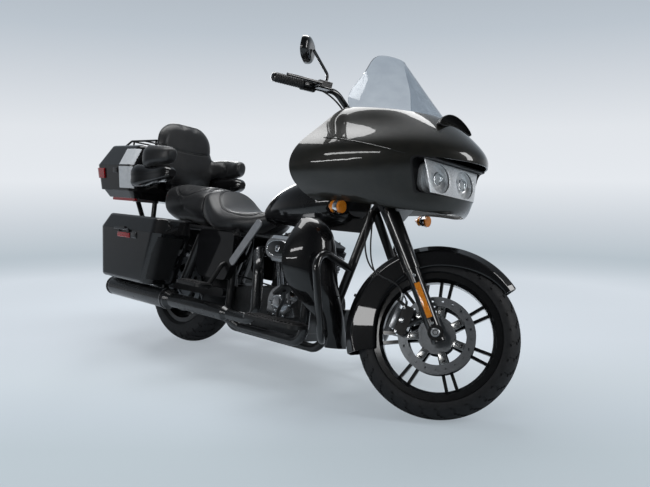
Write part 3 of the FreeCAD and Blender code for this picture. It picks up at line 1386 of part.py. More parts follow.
def make_seats():
    room = []
    for side in (-1, 1):
        y = side * SEAT_RAIL_Y
        room.append(rod(V(UPRIGHT_X, y, SEAT_RAIL_Z), V(REAR_RAIL_END, y, SEAT_RAIL_Z), SEAT_TUBE + SEAT_GAP))
        room.append(rod(V(UPRIGHT_X, y, SEAT_RAIL_Z), V(UPRIGHT_X, y, SEAT_RAIL_Z - OVERRUN), FRAME_TUBE + SEAT_GAP))
    room.append(rod(V(UPRIGHT_X, -RAIL_Y - OVERRUN, SEAT_RAIL_Z), V(UPRIGHT_X, RAIL_Y + OVERRUN, SEAT_RAIL_Z),
                    FRAME_TUBE + SEAT_GAP))
    room.append(fender_room())
    half = BACKBONE_HALF + SEAT_GAP
    room.append(Part.makeBox(TANK_FRONT, half + half, BACKBONE_HIGH - SEAT_RAIL_Z + SEAT_GAP,
                             V(UPRIGHT_X - FRAME_TUBE, -half, SEAT_RAIL_Z)))
    room.append(tank_body())
    rider = seat_body(RIDER_REAR, RIDER_FRONT, RIDER_STATION_SHARES)
    for piece in room:
        rider = rider.cut(piece)
    keep("rider_seat", max(rider.Solids, key=lambda solid: solid.Volume))
    passenger = seat_body(PASSENGER_REAR, RIDER_REAR - SEAT_GAP, PASSENGER_STATION_SHARES)
    for piece in room[:-1]:
        passenger = passenger.cut(piece)
    keep("passenger_seat", max(passenger.Solids, key=lambda solid: solid.Volume))


# Rear fender
REAR_FENDER_RADIUS = 352.0
REAR_FENDER_HALF = 108.0
REAR_FENDER_WALL = 4.0
REAR_FENDER_FIRST = 30.0
REAR_FENDER_LAST = 178.0
REAR_FENDER_SKIRT = 120.0


def fender_solid(radius, half, first, last, skirt):
    """Wedge of a drum round the rear axle between two angles."""
    drum = rod(V(0, -half, REAR_RADIUS), V(0, half, REAR_RADIUS), radius)
    drum = drum.cut(rod(V(0, -half - OVERRUN, REAR_RADIUS), V(0, half + OVERRUN, REAR_RADIUS), radius - skirt))
    far = radius + radius
    corners = [V(0, -half - OVERRUN, REAR_RADIUS)]
    for step in range(FENDER_STEPS + 1):
        angle = first + (last - first) * step / FENDER_STEPS
        corners.append(V(far * cosine(angle), -half - OVERRUN, REAR_RADIUS + far * sine(angle)))
    wedge = Part.Face(polygon(corners)).extrude(V(0, half + half + OVERRUN + OVERRUN, 0))
    return drum.common(wedge)


FENDER_STEPS = 6


def fender_room():
    return rod(V(0, -REAR_FENDER_HALF - SEAT_GAP, REAR_RADIUS), V(0, REAR_FENDER_HALF + SEAT_GAP, REAR_RADIUS),
               REAR_FENDER_RADIUS + SEAT_GAP)


def make_rear_fender():
    outer = fender_solid(REAR_FENDER_RADIUS, REAR_FENDER_HALF, REAR_FENDER_FIRST, REAR_FENDER_LAST, REAR_FENDER_SKIRT)
    hollow = rod(V(0, -REAR_FENDER_HALF + REAR_FENDER_WALL, REAR_RADIUS),
                 V(0, REAR_FENDER_HALF - REAR_FENDER_WALL, REAR_RADIUS), REAR_FENDER_RADIUS - REAR_FENDER_WALL)
    keep("rear_fender", outer.cut(hollow))


# Top case, its lid, pods and rack
CASE_FRONT = -290.0
CASE_REAR = -695.0
CASE_HALF = 305.0
CASE_BOTTOM = 803.0
CASE_SEAM = 945.0
CASE_TOP = 1072.0
CASE_WALL = 5.0
CASE_CORNER = 50.0
CASE_DRAFT = 24.0
LID_DRAFT = 55.0
LID_ROUND = 24.0
HINGE_OUT = 8.0
KNUCKLE_RADIUS = 5.5
KNUCKLE_LONG = 46.0
KNUCKLE_GAP = 1.0
LEAF_TALL = 13.0
LEAF_GAP = 1.0


def softened(solid, height, radius):
    """The solid with the edges that lie at one height rounded over."""
    edges = [edge for edge in solid.Edges
             if all(abs(vertex.Z - height) < SEAT_GAP for vertex in edge.Vertexes)]
    return solid.makeFillet(radius, edges)


def hinge_leaf(x, wall, depth, z, down):
    """Barrel beside a wall's outer face, with the leaf that joins it to that wall."""
    start = x - KNUCKLE_LONG * MIDDLE
    axis = wall + HINGE_OUT
    barrel = rod(V(start, axis, z), V(start + KNUCKLE_LONG, axis, z), KNUCKLE_RADIUS)
    low = z - LEAF_GAP - LEAF_TALL if down else z + SEAM_GAP
    leaf = Part.makeBox(KNUCKLE_LONG, depth + HINGE_OUT, LEAF_TALL, V(start, wall - depth, low))
    return [barrel, leaf]


def tub_leaves(x, wall, depth, z):
    """The two fixed leaves of a lid's hinge."""
    step = KNUCKLE_LONG + KNUCKLE_GAP
    return hinge_leaf(x - step, wall, depth, z, True) + hinge_leaf(x + step, wall, depth, z, True)


def case_solid(inset, low, high, low_inset, high_inset):
    rear = CASE_REAR + inset
    front = CASE_FRONT - inset
    half = CASE_HALF - inset
    bend = CASE_CORNER - inset
    first = level_section(low, rear + low_inset, front, -half + low_inset, half - low_inset, bend)
    second = level_section(high, rear + high_inset, front, -half + high_inset, half - high_inset, bend)
    return loft([first, second], True)


def make_top_case():
    outer = case_solid(0, CASE_BOTTOM, CASE_SEAM, CASE_DRAFT, 0)
    inner = case_solid(CASE_WALL, CASE_BOTTOM + CASE_WALL, CASE_SEAM, CASE_DRAFT, 0)
    rim = case_solid(CASE_WALL, CASE_SEAM, CASE_SEAM + OVERRUN, 0, 0)
    middle = (CASE_REAR + CASE_FRONT) * MIDDLE
    depth = CASE_WALL + CASE_WALL
    tub = joined([outer] + tub_leaves(middle, CASE_HALF, depth, CASE_SEAM)).cut(inner).cut(rim)
    base = case_base()
    keep("top_case", joined([tub, base] + [speaker_pod(side) for side in (-1, 1)]))
    base = CASE_SEAM + SEAM_GAP
    lid = softened(case_solid(0, base, CASE_TOP, 0, LID_DRAFT), CASE_TOP, LID_ROUND)
    hollow = case_solid(CASE_WALL, base, CASE_TOP - CASE_WALL, 0, LID_DRAFT)
    hollow = softened(hollow, CASE_TOP - CASE_WALL, LID_ROUND - CASE_WALL)
    below = case_solid(CASE_WALL, base - OVERRUN, base, 0, 0)
    lid = joined([lid] + hinge_leaf(middle, CASE_HALF, depth, CASE_SEAM, False))
    keep("top_case_lid", lid.cut(hollow).cut(below), "top_case_lid")


# Panniers
BAG_REAR = -405.0
BAG_FRONT = 222.0
BAG_INNER = 192.0
BAG_OUTER = 428.0
BAG_BOTTOM = 322.0
BAG_SEAM = 590.0
BAG_TOP = 668.0
BAG_WALL = 5.0
BAG_CORNER = 55.0
BAG_DRAFT_FRONT = 100.0
BAG_DRAFT_REAR = 8.0
BAG_CHAMFER = 88.0
BAG_DRAFT_SIDE = 30.0
BAG_LID_DRAFT = 30.0
BAG_ROUND = 20.0


def bag_section(z, inset, rear_in, front_in, outer_in):
    """Level outline of a bag, cut away at the outer rear corner."""
    rear = BAG_REAR + inset + rear_in
    front = BAG_FRONT - inset - front_in
    inner = BAG_INNER + inset
    outer = BAG_OUTER - inset - outer_in
    corners = [V(rear, inner, z), V(front, inner, z), V(front, outer, z), V(rear + BAG_CHAMFER, outer, z),
               V(rear, outer - BAG_CHAMFER, z)]
    return corner_wire(corners, BAG_CORNER - inset, True)


def bag_middle():
    return (BAG_REAR + BAG_FRONT) * MIDDLE


def bag_tub():
    outer = loft([bag_section(BAG_BOTTOM, 0, BAG_DRAFT_REAR, BAG_DRAFT_FRONT, BAG_DRAFT_SIDE),
                  bag_section(BAG_SEAM, 0, 0, 0, 0)], True)
    inner = loft([bag_section(BAG_BOTTOM + BAG_WALL, BAG_WALL, BAG_DRAFT_REAR, BAG_DRAFT_FRONT, BAG_DRAFT_SIDE),
                  bag_section(BAG_SEAM, BAG_WALL, 0, 0, 0)], True)
    outer = softened(outer, BAG_BOTTOM, BAG_ROUND)
    inner = softened(inner, BAG_BOTTOM + BAG_WALL, BAG_ROUND - BAG_WALL)
    return joined([outer] + tub_leaves(bag_middle(), BAG_OUTER, BAG_WALL + BAG_WALL, BAG_SEAM)).cut(inner)


def bag_lid():
    base = BAG_SEAM + SEAM_GAP
    outer = loft([bag_section(base, 0, 0, 0, 0),
                  bag_section(BAG_TOP, 0, BAG_LID_DRAFT, BAG_LID_DRAFT, BAG_LID_DRAFT)], True)
    inner = loft([bag_section(base, BAG_WALL, 0, 0, 0),
                  bag_section(BAG_TOP - BAG_WALL, BAG_WALL, BAG_LID_DRAFT, BAG_LID_DRAFT, BAG_LID_DRAFT)], True)
    outer = softened(outer, BAG_TOP, BAG_ROUND)
    inner = softened(inner, BAG_TOP - BAG_WALL, BAG_ROUND - BAG_WALL)
    below = loft([bag_section(BAG_SEAM - OVERRUN, BAG_WALL, 0, 0, 0), bag_section(base, BAG_WALL, 0, 0, 0)], True)
    leaf = hinge_leaf(bag_middle(), BAG_OUTER, BAG_WALL + BAG_WALL, BAG_SEAM, False)
    return joined([outer] + leaf).cut(inner).cut(below)


def make_panniers():
    keep("pannier_left", bag_tub())
    keep("pannier_right", mirrored(bag_tub()))
    keep("pannier_lid_left", bag_lid(), "pannier_lid_left")
    keep("pannier_lid_right", mirrored(bag_lid()), "pannier_lid_right")


# Backrest with its arms, and the speaker pods below them
BACKREST_LEVEL_SHARES = (
    # height, half width, half depth, lean
    (0.0, 0.82, 0.92, 0.0),
    (0.14, 0.95, 1.08, 0.1),
    (0.36, 1.0, 1.1, 0.3),
    (0.47, 0.9, 0.98, 0.42),
    (0.60, 0.79, 0.96, 0.56),
    (0.76, 0.75, 0.94, 0.74),
    (0.90, 0.62, 0.8, 0.92),
    (0.97, 0.47, 0.6, 0.98),
    (1.0, 0.28, 0.36, 1.0),
)
BACKREST_LOW = 868.0
BACKREST_HIGH = 1240.0
BACKREST_HALF = 252.0
BACKREST_THICK = 76.0
BACKREST_LEAN = 22.0
ARM_FRONT = 16.0
ARM_TALL_SHARE = 1.08
ARM_OUT = 258.0
ARM_Z = 988.0
ARM_RISE = 28.0
ARM_SIZE = 62.0
ARM_STATION_SHARES = (
    # length from the rear, out share, half size
    (0.0, 0.74, 0.88),
    (0.15, 0.94, 1.06),
    (0.4, 1.04, 0.98),
    (0.75, 0.99, 0.80),
    (0.95, 0.93, 0.62),
    (1.0, 0.92, 0.44),
)
POD_FRONT = 32.0
POD_OUT = 246.0
POD_STATION_SHARES = (
    # length from the case, half width, low and high as shares of the pod's height
    (0.0, 1.0, 0.0, 1.0),
    (0.3, 0.95, 0.1, 1.0),
    (0.7, 0.8, 0.3, 1.0),
    (0.94, 0.62, 0.46, 0.96),
    (1.0, 0.4, 0.56, 0.86),
)
POD_LOW = 826.0
POD_HIGH = 952.0
POD_HALF = 54.0
MOUNT_HALF = 80.0


def above_seam():
    """Space ahead of the case that the lid's front sweeps past."""
    half = CASE_HALF + CASE_HALF * MIDDLE
    corner = V(CASE_FRONT - OVERRUN, -half, CASE_SEAM - MOVING_GAP)
    return Part.makeBox(MOVING_GAP + OVERRUN, half + half, CASE_TOP, corner)


def speaker_pod(side):
    """Shoulder ahead of the case that tapers into a pod beside the passenger."""
    wires = []
    for along, width, low_share, high_share in POD_STATION_SHARES:
        x = CASE_FRONT - CASE_WALL * MIDDLE + (POD_FRONT - CASE_FRONT) * along
        low = POD_LOW + (POD_HIGH - POD_LOW) * low_share
        high = POD_LOW + (POD_HIGH - POD_LOW) * high_share
        centre = V(x, side * POD_OUT, (low + high) * MIDDLE)
        wires.append(round_section(centre, LEFT * POD_HALF * width * side, UP * (high - low) * MIDDLE, 0.6, 12))
    pod = loft(wires).cut(above_seam())
    return max(pod.Solids, key=lambda solid: solid.Volume)


def make_backrest():
    """Upright pad with a padded arm at each side."""
    rear = CASE_FRONT + SEAT_GAP
    wires = []
    for height, width, depth, lean in BACKREST_LEVEL_SHARES:
        half_deep = BACKREST_THICK * MIDDLE * depth
        x = rear + BACKREST_THICK * MIDDLE + BACKREST_LEAN * (1 - lean)
        z = BACKREST_LOW + (BACKREST_HIGH - BACKREST_LOW) * height
        wires.append(round_section(V(x, 0, z), LEFT * BACKREST_HALF * width, FORWARD * half_deep, 0.7, 12))
    shapes = [loft(wires)]
    stem = Part.makeBox(BACKREST_THICK, MOUNT_HALF + MOUNT_HALF, BACKREST_THICK,
                        V(rear, -MOUNT_HALF, CASE_SEAM - OVERRUN - BACKREST_THICK))
    for side in (-1, 1):
        wires = []
        for along, out, size in ARM_STATION_SHARES:
            x = rear + ARM_SIZE + (ARM_FRONT - rear - ARM_SIZE) * along
            centre = V(x, side * ARM_OUT * out, ARM_Z + ARM_RISE * along)
            half = ARM_SIZE * size
            wires.append(round_section(centre, LEFT * half * side, UP * half * ARM_TALL_SHARE, 0.8, 12))
        shapes.append(loft(wires))
    pad = joined(shapes + [stem]).cut(above_seam())
    for side in (-1, 1):
        pad = pad.cut(speaker_pod(side))
    keep("backrest", max(pad.Solids, key=lambda solid: solid.Volume))


# Case base, its lamps and the luggage rack
BASE_HIGH_INSET = 34.0
BASE_LOW_INSET = 62.0
BASE_LOW = 764.0
LAMP_BAR_TALL = 16.0
LAMP_BAR_DEEP = 18.0
LAMP_BAR_REAR = -560.0
LAMP_BAR_FRONT = -320.0
CORNER_LAMP_LOW = 868.0
CORNER_LAMP_TALL = 58.0
CORNER_LAMP_PROUD = 9.0
CORNER_LAMP_LONG = 70.0
RACK_TUBE = 6.0
RACK_HALF = 160.0
RACK_HIGH = 1112.0
RACK_FRONT = -290.0
RACK_KNEE = -560.0
RACK_REAR_Z = 1066.0
RACK_REAR = -656.0
RACK_BEND = 26.0
RACK_BARS = 3
RACK_BAR_SHARE = 0.8
RACK_POST_SHARE = 0.9


def case_base():
    """Skirt below the tub, narrowing downwards."""
    wires = []
    for z, inset in ((BASE_LOW, BASE_LOW_INSET), (CASE_BOTTOM + CASE_WALL * MIDDLE, BASE_HIGH_INSET)):
        half = CASE_HALF - inset
        wires.append(level_section(z, CASE_REAR + inset, CASE_FRONT - SEAT_TUBE, -half, half, CASE_CORNER))
    return loft(wires, True)


def make_rear_lamps():
    bars = []
    for side in (-1, 1):
        outer = side * (CASE_HALF - BASE_LOW_INSET)
        inner = outer - side * LAMP_BAR_DEEP
        low_y = min(outer, inner)
        high_z = BASE_LOW - SEAT_GAP
        low_z = high_z - LAMP_BAR_TALL
        outline = [(LAMP_BAR_REAR, low_z), (LAMP_BAR_FRONT, low_z), (LAMP_BAR_FRONT, high_z), (LAMP_BAR_REAR, high_z)]
        bars.append(slab(outline, low_y, low_y + LAMP_BAR_DEEP, LAMP_BAR_TALL * MIDDLE * MIDDLE))
    skin = case_solid(-CORNER_LAMP_PROUD, CASE_BOTTOM, CASE_SEAM, CASE_DRAFT, 0)
    skin = skin.cut(case_solid(-SEAT_GAP, CASE_BOTTOM, CASE_SEAM, CASE_DRAFT, 0))
    lamps = []
    for side in (-1, 1):
        y = CASE_HALF - CASE_CORNER - CORNER_LAMP_LONG * MIDDLE
        start = y if side > 0 else -y - CASE_HALF
        window = Part.makeBox(CASE_CORNER + CORNER_LAMP_LONG, CASE_HALF, CORNER_LAMP_TALL,
                              V(CASE_REAR - CORNER_LAMP_PROUD, start, CORNER_LAMP_LOW))
        lamps.append(skin.common(window))
    keep("rear_lamps", together(bars + lamps))


def make_rack():
    loop = [V(RACK_FRONT, -RACK_HALF, RACK_HIGH), V(RACK_KNEE, -RACK_HALF, RACK_HIGH),
            V(RACK_REAR, -RACK_HALF, RACK_REAR_Z), V(RACK_REAR, RACK_HALF, RACK_REAR_Z),
            V(RACK_KNEE, RACK_HALF, RACK_HIGH), V(RACK_FRONT, RACK_HALF, RACK_HIGH)]
    shapes = [tube(loop, RACK_TUBE, RACK_BEND)]
    pitch = (RACK_KNEE - RACK_FRONT) / (RACK_BARS - 1)
    for number in range(RACK_BARS):
        x = RACK_FRONT + pitch * number
        nudge = RACK_TUBE if number == 0 else 0
        ends = [V(x - nudge, y, RACK_HIGH) for y in (-RACK_HALF, RACK_HALF)]
        shapes.append(rod(ends[0], ends[1], RACK_TUBE * RACK_BAR_SHARE))
    for x in (RACK_FRONT - RACK_TUBE, RACK_KNEE + RACK_BEND):
        for side in (-1, 1):
            foot = V(x, side * RACK_HALF, CASE_TOP + SEAT_GAP)
            shapes.append(rod(foot, V(x, side * RACK_HALF, RACK_HIGH), RACK_TUBE * RACK_POST_SHARE))
    keep("luggage_rack", joined(shapes), "top_case_lid")


# Leg shields and the engine guard
GUARD_TUBE = 15.0
LEG_LOW = 205.0
LEG_HIGH = 735.0
LEG_FRONT = 1262.0
LEG_REAR = 1105.0
LEG_OUT = 402.0
LEG_THICK = 16.0
LEG_LEVEL_SHARES = (
    # height, then x and y shares of the inner edge, the middle and the outer edge
    (0.0, (1.0, 0.30), (0.92, 0.42), (0.70, 0.50)),
    (0.24, (0.98, 0.38), (0.98, 0.52), (0.62, 0.66)),
    (0.52, (0.84, 0.48), (0.84, 0.75), (0.09, 0.955)),
    (0.69, (0.75, 0.50), (0.80, 0.79), (0.02, 1.0)),
    (0.88, (0.68, 0.56), (0.70, 0.79), (0.05, 0.92)),
    (1.0, (0.40, 0.66), (0.34, 0.75), (0.14, 0.82)),
)


def leg_wire(shares):
    height, inner, middle, outer = shares
    z = LEG_LOW + (LEG_HIGH - LEG_LOW) * height
    points = [V(LEG_REAR + (LEG_FRONT - LEG_REAR) * a, LEG_OUT * b, z) for a, b in (inner, middle, outer)]
    chord = unit(points[2] - points[0])
    inward = V(-chord.y, chord.x, 0)
    inward = inward if inward.x < 0 else inward * -1
    back = [p + inward * LEG_THICK for p in points]
    front_arc = Part.Arc(points[0], points[1], points[2]).toShape()
    tip = Part.LineSegment(points[2], back[2]).toShape()
    back_arc = Part.Arc(back[2], back[1], back[0]).toShape()
    root = Part.LineSegment(back[0], points[0]).toShape()
    return Part.Wire([front_arc, tip, back_arc, root])


def make_leg_shields():
    shield = loft([leg_wire(shares) for shares in LEG_LEVEL_SHARES])
    start, stop = shield_stay()
    stay = rod(start, stop, STAY_RADIUS).cut(pieces["frame"])
    stay = max(stay.Solids, key=lambda solid: solid.Volume)
    shield = joined([shield, stay]).cut(guard_tube(GUARD_TUBE + SEAT_GAP))
    shield = max(shield.Solids, key=lambda solid: solid.Volume)
    keep("leg_shields", both_sides(shield))


STAY_RADIUS = 9.0
STAY_FORWARD = 34.0
STAY_HEIGHT = 420.0


def shield_stay():
    """Stay from the downtube out to the inner edge of the shield."""
    share = (STAY_HEIGHT - RAIL_Z) / (DOWNTUBE_KNEE_Z - RAIL_Z)
    x = RAIL_FRONT + (DOWNTUBE_KNEE_X - RAIL_FRONT) * share
    return V(x, RAIL_Y, STAY_HEIGHT), V(x + STAY_FORWARD, LEG_OUT * STAY_REACH_SHARE, STAY_HEIGHT)


STAY_REACH_SHARE = 0.53


def guard_tube(radius):
    top = V(GUARD_TOP_X, RAIL_Y, GUARD_TOP_Z)
    foot = V(GUARD_FOOT_X, GUARD_FOOT_Y, GUARD_FOOT_Z)
    path = [top, V(GUARD_OUT_X, GUARD_OUT_Y, GUARD_OUT_Z), foot, V(GUARD_LOW_X, RAIL_Y, GUARD_LOW_Z)]
    return tube(path, radius, GUARD_BEND)


def make_engine_guard():
    hoop = guard_tube(GUARD_TUBE).cut(pieces["frame"])
    hoop = max(hoop.Solids, key=lambda solid: solid.Volume)
    keep("engine_guard", both_sides(hoop))


GUARD_TOP_X = 1262.0
GUARD_TOP_Z = 540.0
GUARD_OUT_X = 1284.0
GUARD_OUT_Y = 408.0
GUARD_OUT_Z = 625.0
GUARD_FOOT_X = 1312.0
GUARD_FOOT_Y = 340.0
GUARD_FOOT_Z = 245.0
GUARD_LOW_X = 1168.0
GUARD_LOW_Z = 274.0
GUARD_BEND = 60.0

# Oil cooler on the downtubes
COOLER_LOW = 250.0
COOLER_HIGH = 366.0
COOLER_THICK = 20.0
COOLER_HALF = 122.0


def make_oil_cooler():
    slope = (DOWNTUBE_KNEE_X - RAIL_FRONT) / (DOWNTUBE_KNEE_Z - RAIL_Z)
    ease = math.sqrt(1 + slope ** 2)
    near = (FRAME_TUBE + SEAT_GAP) * ease
    far = near + COOLER_THICK * ease
    outline = []
    for z, offset in ((COOLER_LOW, near), (COOLER_LOW, far), (COOLER_HIGH, far), (COOLER_HIGH, near)):
        outline.append((RAIL_FRONT + (z - RAIL_Z) * slope + offset, z))
    keep("oil_cooler", slab(outline, -COOLER_HALF, COOLER_HALF))


# Side covers and the air deflectors ahead of them
SIDE_REAR = 275.0
SIDE_FRONT = 556.0
SIDE_HIGH = 636.0
SIDE_LOW = 400.0
SIDE_PROUD = 40.0
SIDE_BEND = 28.0
BLADE_TOP = V(738.0, 0, 705.0)
BLADE_LOW = V(560.0, 0, 487.0)
BLADE_HALF = 20.0
BLADE_THICK = 8.0
BLADE_BEND = 14.0


def make_side_covers():
    inner = RAIL_Y + FRAME_TUBE + SEAT_GAP
    outline = [(SIDE_REAR, SIDE_LOW + SIDE_PROUD), (SIDE_REAR + SIDE_PROUD, SIDE_LOW), (SIDE_FRONT - SIDE_PROUD, SIDE_LOW),
               (SIDE_FRONT, SIDE_LOW + SIDE_PROUD + SIDE_PROUD), (SIDE_FRONT, SIDE_HIGH), (SIDE_REAR, SIDE_HIGH)]
    cover = slab(outline, inner, inner + SIDE_PROUD, SIDE_BEND)
    cover = cover.cut(board_arm(SEAT_GAP)).cut(primary_cover())
    keep("side_covers", both_sides(max(cover.Solids, key=lambda solid: solid.Volume)))
    along = unit(BLADE_TOP - BLADE_LOW)
    across = V(along.z, 0, -along.x) * BLADE_HALF
    corners = [BLADE_LOW - across, BLADE_LOW + across, BLADE_TOP + across, BLADE_TOP - across]
    face = inner + SIDE_PROUD + SEAT_GAP
    blade = slab([(p.x, p.z) for p in corners], face, face + BLADE_THICK, BLADE_BEND)
    keep("air_deflectors", both_sides(blade))


# Footboards on their brackets
RIDER_BOARD_REAR = 935.0
RIDER_BOARD_FRONT = 1250.0
RIDER_BOARD_INNER = 336.0
RIDER_BOARD_OUTER = 446.0
RIDER_BOARD_Z = 292.0
BOARD_THICK = 14.0
BOARD_CORNER = 34.0
HINGE_PIN = 5.0
RIDER_BRACKET_X = 1012.0
BRACKET_RADIUS = 12.0
PASSENGER_BOARD_REAR = 392.0
PASSENGER_BOARD_FRONT = 588.0
PASSENGER_BOARD_INNER = 318.0
PASSENGER_BOARD_OUTER = 412.0
PASSENGER_BOARD_Z = 370.0
PASSENGER_ARM_Z = 480.0
PIN_LONG = 70.0


def board(rear, front, inner, outer, z):
    outline = [(rear, inner), (front, inner), (front, outer), (rear, outer)]
    return floor_plate(outline, z, z + BOARD_THICK, BOARD_CORNER)


def board_pin(x, inner, z):
    """Hinge pin beside the board's inner edge, level with its underside."""
    y = inner - HINGE_PIN - SEAT_GAP
    return rod(V(x - PIN_LONG * MIDDLE, y, z + HINGE_PIN), V(x + PIN_LONG * MIDDLE, y, z + HINGE_PIN), HINGE_PIN)


def arm_end():
    """Lower end of the passenger bracket, below and inside the pin, clear of the folding board."""
    y = PASSENGER_BOARD_INNER - HINGE_PIN - SEAT_GAP
    return V(UPRIGHT_X, y - BRACKET_RADIUS, PASSENGER_BOARD_Z - BRACKET_RADIUS)


def board_arm(extra=0):
    """Passenger bracket: out of the frame's upright, down and out to its pin."""
    start = V(UPRIGHT_X, RAIL_Y + FRAME_TUBE + SEAT_GAP, PASSENGER_ARM_Z)
    knee = V(UPRIGHT_X, RAIL_Y + FRAME_TUBE + SIDE_PROUD + BRACKET_RADIUS, PASSENGER_ARM_Z)
    return tube([start, knee, arm_end()], BRACKET_RADIUS + extra, BOARD_CORNER)


def make_boards():
    for side, word in ((1, "left"), (-1, "right")):
        rider = board(RIDER_BOARD_REAR, RIDER_BOARD_FRONT, RIDER_BOARD_INNER, RIDER_BOARD_OUTER, RIDER_BOARD_Z)
        passenger = board(PASSENGER_BOARD_REAR, PASSENGER_BOARD_FRONT, PASSENGER_BOARD_INNER,
                          PASSENGER_BOARD_OUTER, PASSENGER_BOARD_Z)
        rider_name = "rider_board_" + word
        passenger_name = "passenger_board_" + word
        keep(rider_name, rider if side > 0 else mirrored(rider), rider_name)
        keep(passenger_name, passenger if side > 0 else mirrored(passenger), passenger_name)
    pin = board_pin(RIDER_BRACKET_X, RIDER_BOARD_INNER, RIDER_BOARD_Z)
    pin_y = RIDER_BOARD_INNER - HINGE_PIN - SEAT_GAP
    arm_z = RIDER_BOARD_Z - MOVING_GAP
    arm = rod(V(RIDER_BRACKET_X, CASE_LEFT + SEAT_GAP, arm_z), V(RIDER_BRACKET_X, pin_y, arm_z), BRACKET_RADIUS)
    rider_bracket = joined([arm, pin])
    passenger_pin = board_pin(UPRIGHT_X, PASSENGER_BOARD_INNER, PASSENGER_BOARD_Z)
    top = V(UPRIGHT_X, PASSENGER_BOARD_INNER - HINGE_PIN - SEAT_GAP, PASSENGER_BOARD_Z + HINGE_PIN)
    passenger_bracket = joined([board_arm(), rod(arm_end(), top, HINGE_PIN), passenger_pin])
    return [rider_bracket, mirrored(rider_bracket), passenger_bracket, mirrored(passenger_bracket)]


# Brake pedal and heel-and-toe shifter
PEDAL = V(1088.0, 352.0, 424.0)
PEDAL_HALF_LONG = 32.0
PEDAL_HALF_WIDE = 36.0
PEDAL_THICK = 10.0
PEDAL_ARM = 8.0
SHIFT_REAR = 930.0
SHIFT_FRONT = 1108.0
SHIFT_Z = 392.0
SHIFT_Y = 314.0
PEG_RADIUS = 11.0
PEG_LONG = 62.0
PEG_INSET = 17.0


def make_foot_controls(brackets):
    base = V(RIDER_BRACKET_X, SHIFT_Y - BRACKET_RADIUS, RIDER_BOARD_Z - MOVING_GAP)
    knee = V(PEDAL.x - OVERRUN, SHIFT_Y - MOVING_GAP, PEDAL.z - OVERRUN)
    arm = tube([base, base + UP * OVERRUN, knee, PEDAL], PEDAL_ARM, OVERRUN)
    pad = Part.makeBox(PEDAL_HALF_LONG + PEDAL_HALF_LONG, PEDAL_HALF_WIDE + PEDAL_HALF_WIDE, PEDAL_THICK,
                       PEDAL - V(PEDAL_HALF_LONG, PEDAL_HALF_WIDE, 0))
    pad.rotate(PEDAL, LEFT, -PEDAL_TILT)
    pedal = mirrored(joined([arm, pad]))
    post = rod(base, V(base.x, base.y, SHIFT_Z), PEDAL_ARM)
    bar = rod(V(SHIFT_REAR, base.y, SHIFT_Z), V(SHIFT_FRONT, base.y, SHIFT_Z), PEDAL_ARM)
    pegs = []
    for x in (SHIFT_REAR + PEG_INSET, SHIFT_FRONT - PEG_INSET):
        pegs.append(rod(V(x, base.y, SHIFT_Z), V(x, base.y + PEG_LONG, SHIFT_Z), PEG_RADIUS))
    shifter = joined([brackets[0], post, bar] + pegs)
    brake = joined([brackets[1], pedal])
    keep("foot_controls", together([shifter, brake] + brackets[2:]))


PEDAL_TILT = 40.0

# Side stand
STAND_PIVOT = V(1000.0, 192.0, 196.0)
STAND_FOOT_X = 1068.0
STAND_FOOT_Y = 355.0
STAND_RADIUS = 12.0
STAND_PLATE_RADIUS = 32.0
STAND_PLATE_THICK = 8.0
STAND_HUB_RADIUS = 20.0
STAND_HUB_LONG = 28.0
STAND_STOWED = V(-1.0, 0.16, 0.0)
STAND_DOWN = V(0.3, 0.71, -0.64)
STAND_LUG_THICK = 15.0
STAND_LUG_SHARE = 0.7
PIN_GAP = 1.0


def stand_foot(fixed):
    """Point of the road under the stand's foot, in the upright machine's frame."""
    on_road = fixed.multVec(V(STAND_FOOT_X, STAND_FOOT_Y, 0))
    on_road.z = 0
    return fixed.inverse().multVec(on_road)


def stand_axis():
    return unit(STAND_DOWN.cross(STAND_STOWED))


def stand_lug():
    """Clevis disc, pin and arm that hold the stand to the left rail."""
    axis = stand_axis()
    half = STAND_HUB_LONG * MIDDLE
    disc = rod(STAND_PIVOT - axis * (half + STAND_LUG_THICK), STAND_PIVOT - axis * (half + PIN_GAP), STAND_HUB_RADIUS * STAND_LUG_SHARE)
    pin = rod(STAND_PIVOT - axis * (half + STAND_LUG_THICK), STAND_PIVOT + axis * (half + PIN_GAP), HINGE_PIN)
    middle = STAND_PIVOT - axis * (half + STAND_LUG_THICK - HINGE_PIN)
    arm = rod(V(middle.x, RAIL_Y, RAIL_Z), middle, HINGE_PIN)
    return [disc, pin, arm]


def make_side_stand(fixed):
    foot = stand_foot(fixed)
    down = fixed.inverse().Rotation.multVec(UP)
    plate = rod(foot, foot + down * STAND_PLATE_THICK, STAND_PLATE_RADIUS)
    axis = stand_axis()
    start = STAND_PIVOT
    leg = rod(start, foot + down * STAND_PLATE_THICK * MIDDLE, STAND_RADIUS)
    under = rod(foot - down * OVERRUN, foot, STAND_PLATE_RADIUS)
    hub = rod(STAND_PIVOT - axis * STAND_HUB_LONG * MIDDLE, STAND_PIVOT + axis * STAND_HUB_LONG * MIDDLE, STAND_HUB_RADIUS)
    stand = joined([leg, hub, plate]).cut(under)
    hole = rod(STAND_PIVOT - axis * OVERRUN, STAND_PIVOT + axis * OVERRUN, HINGE_PIN + RUNNING_GAP)
    keep("side_stand", stand.cut(hole), "side_stand")


# Lamps, reflectors and the brake hoses
BULLET_RADIUS = 25.0
BULLET_LONG = 46.0
FRONT_BULLET = V(1290.0, 306.0, 790.0)
REAR_BULLET = V(-372.0, 140.0, 560.0)
LAMP_STALK = 8.0


def bullet(centre, facing):
    nose = rod(centre - facing * BULLET_LONG * MIDDLE, centre + facing * BULLET_LONG * MIDDLE, BULLET_RADIUS)
    tail = cone(centre - facing * BULLET_LONG * MIDDLE, centre - facing * BULLET_LONG, BULLET_RADIUS, LAMP_STALK)
    return joined([nose, tail])


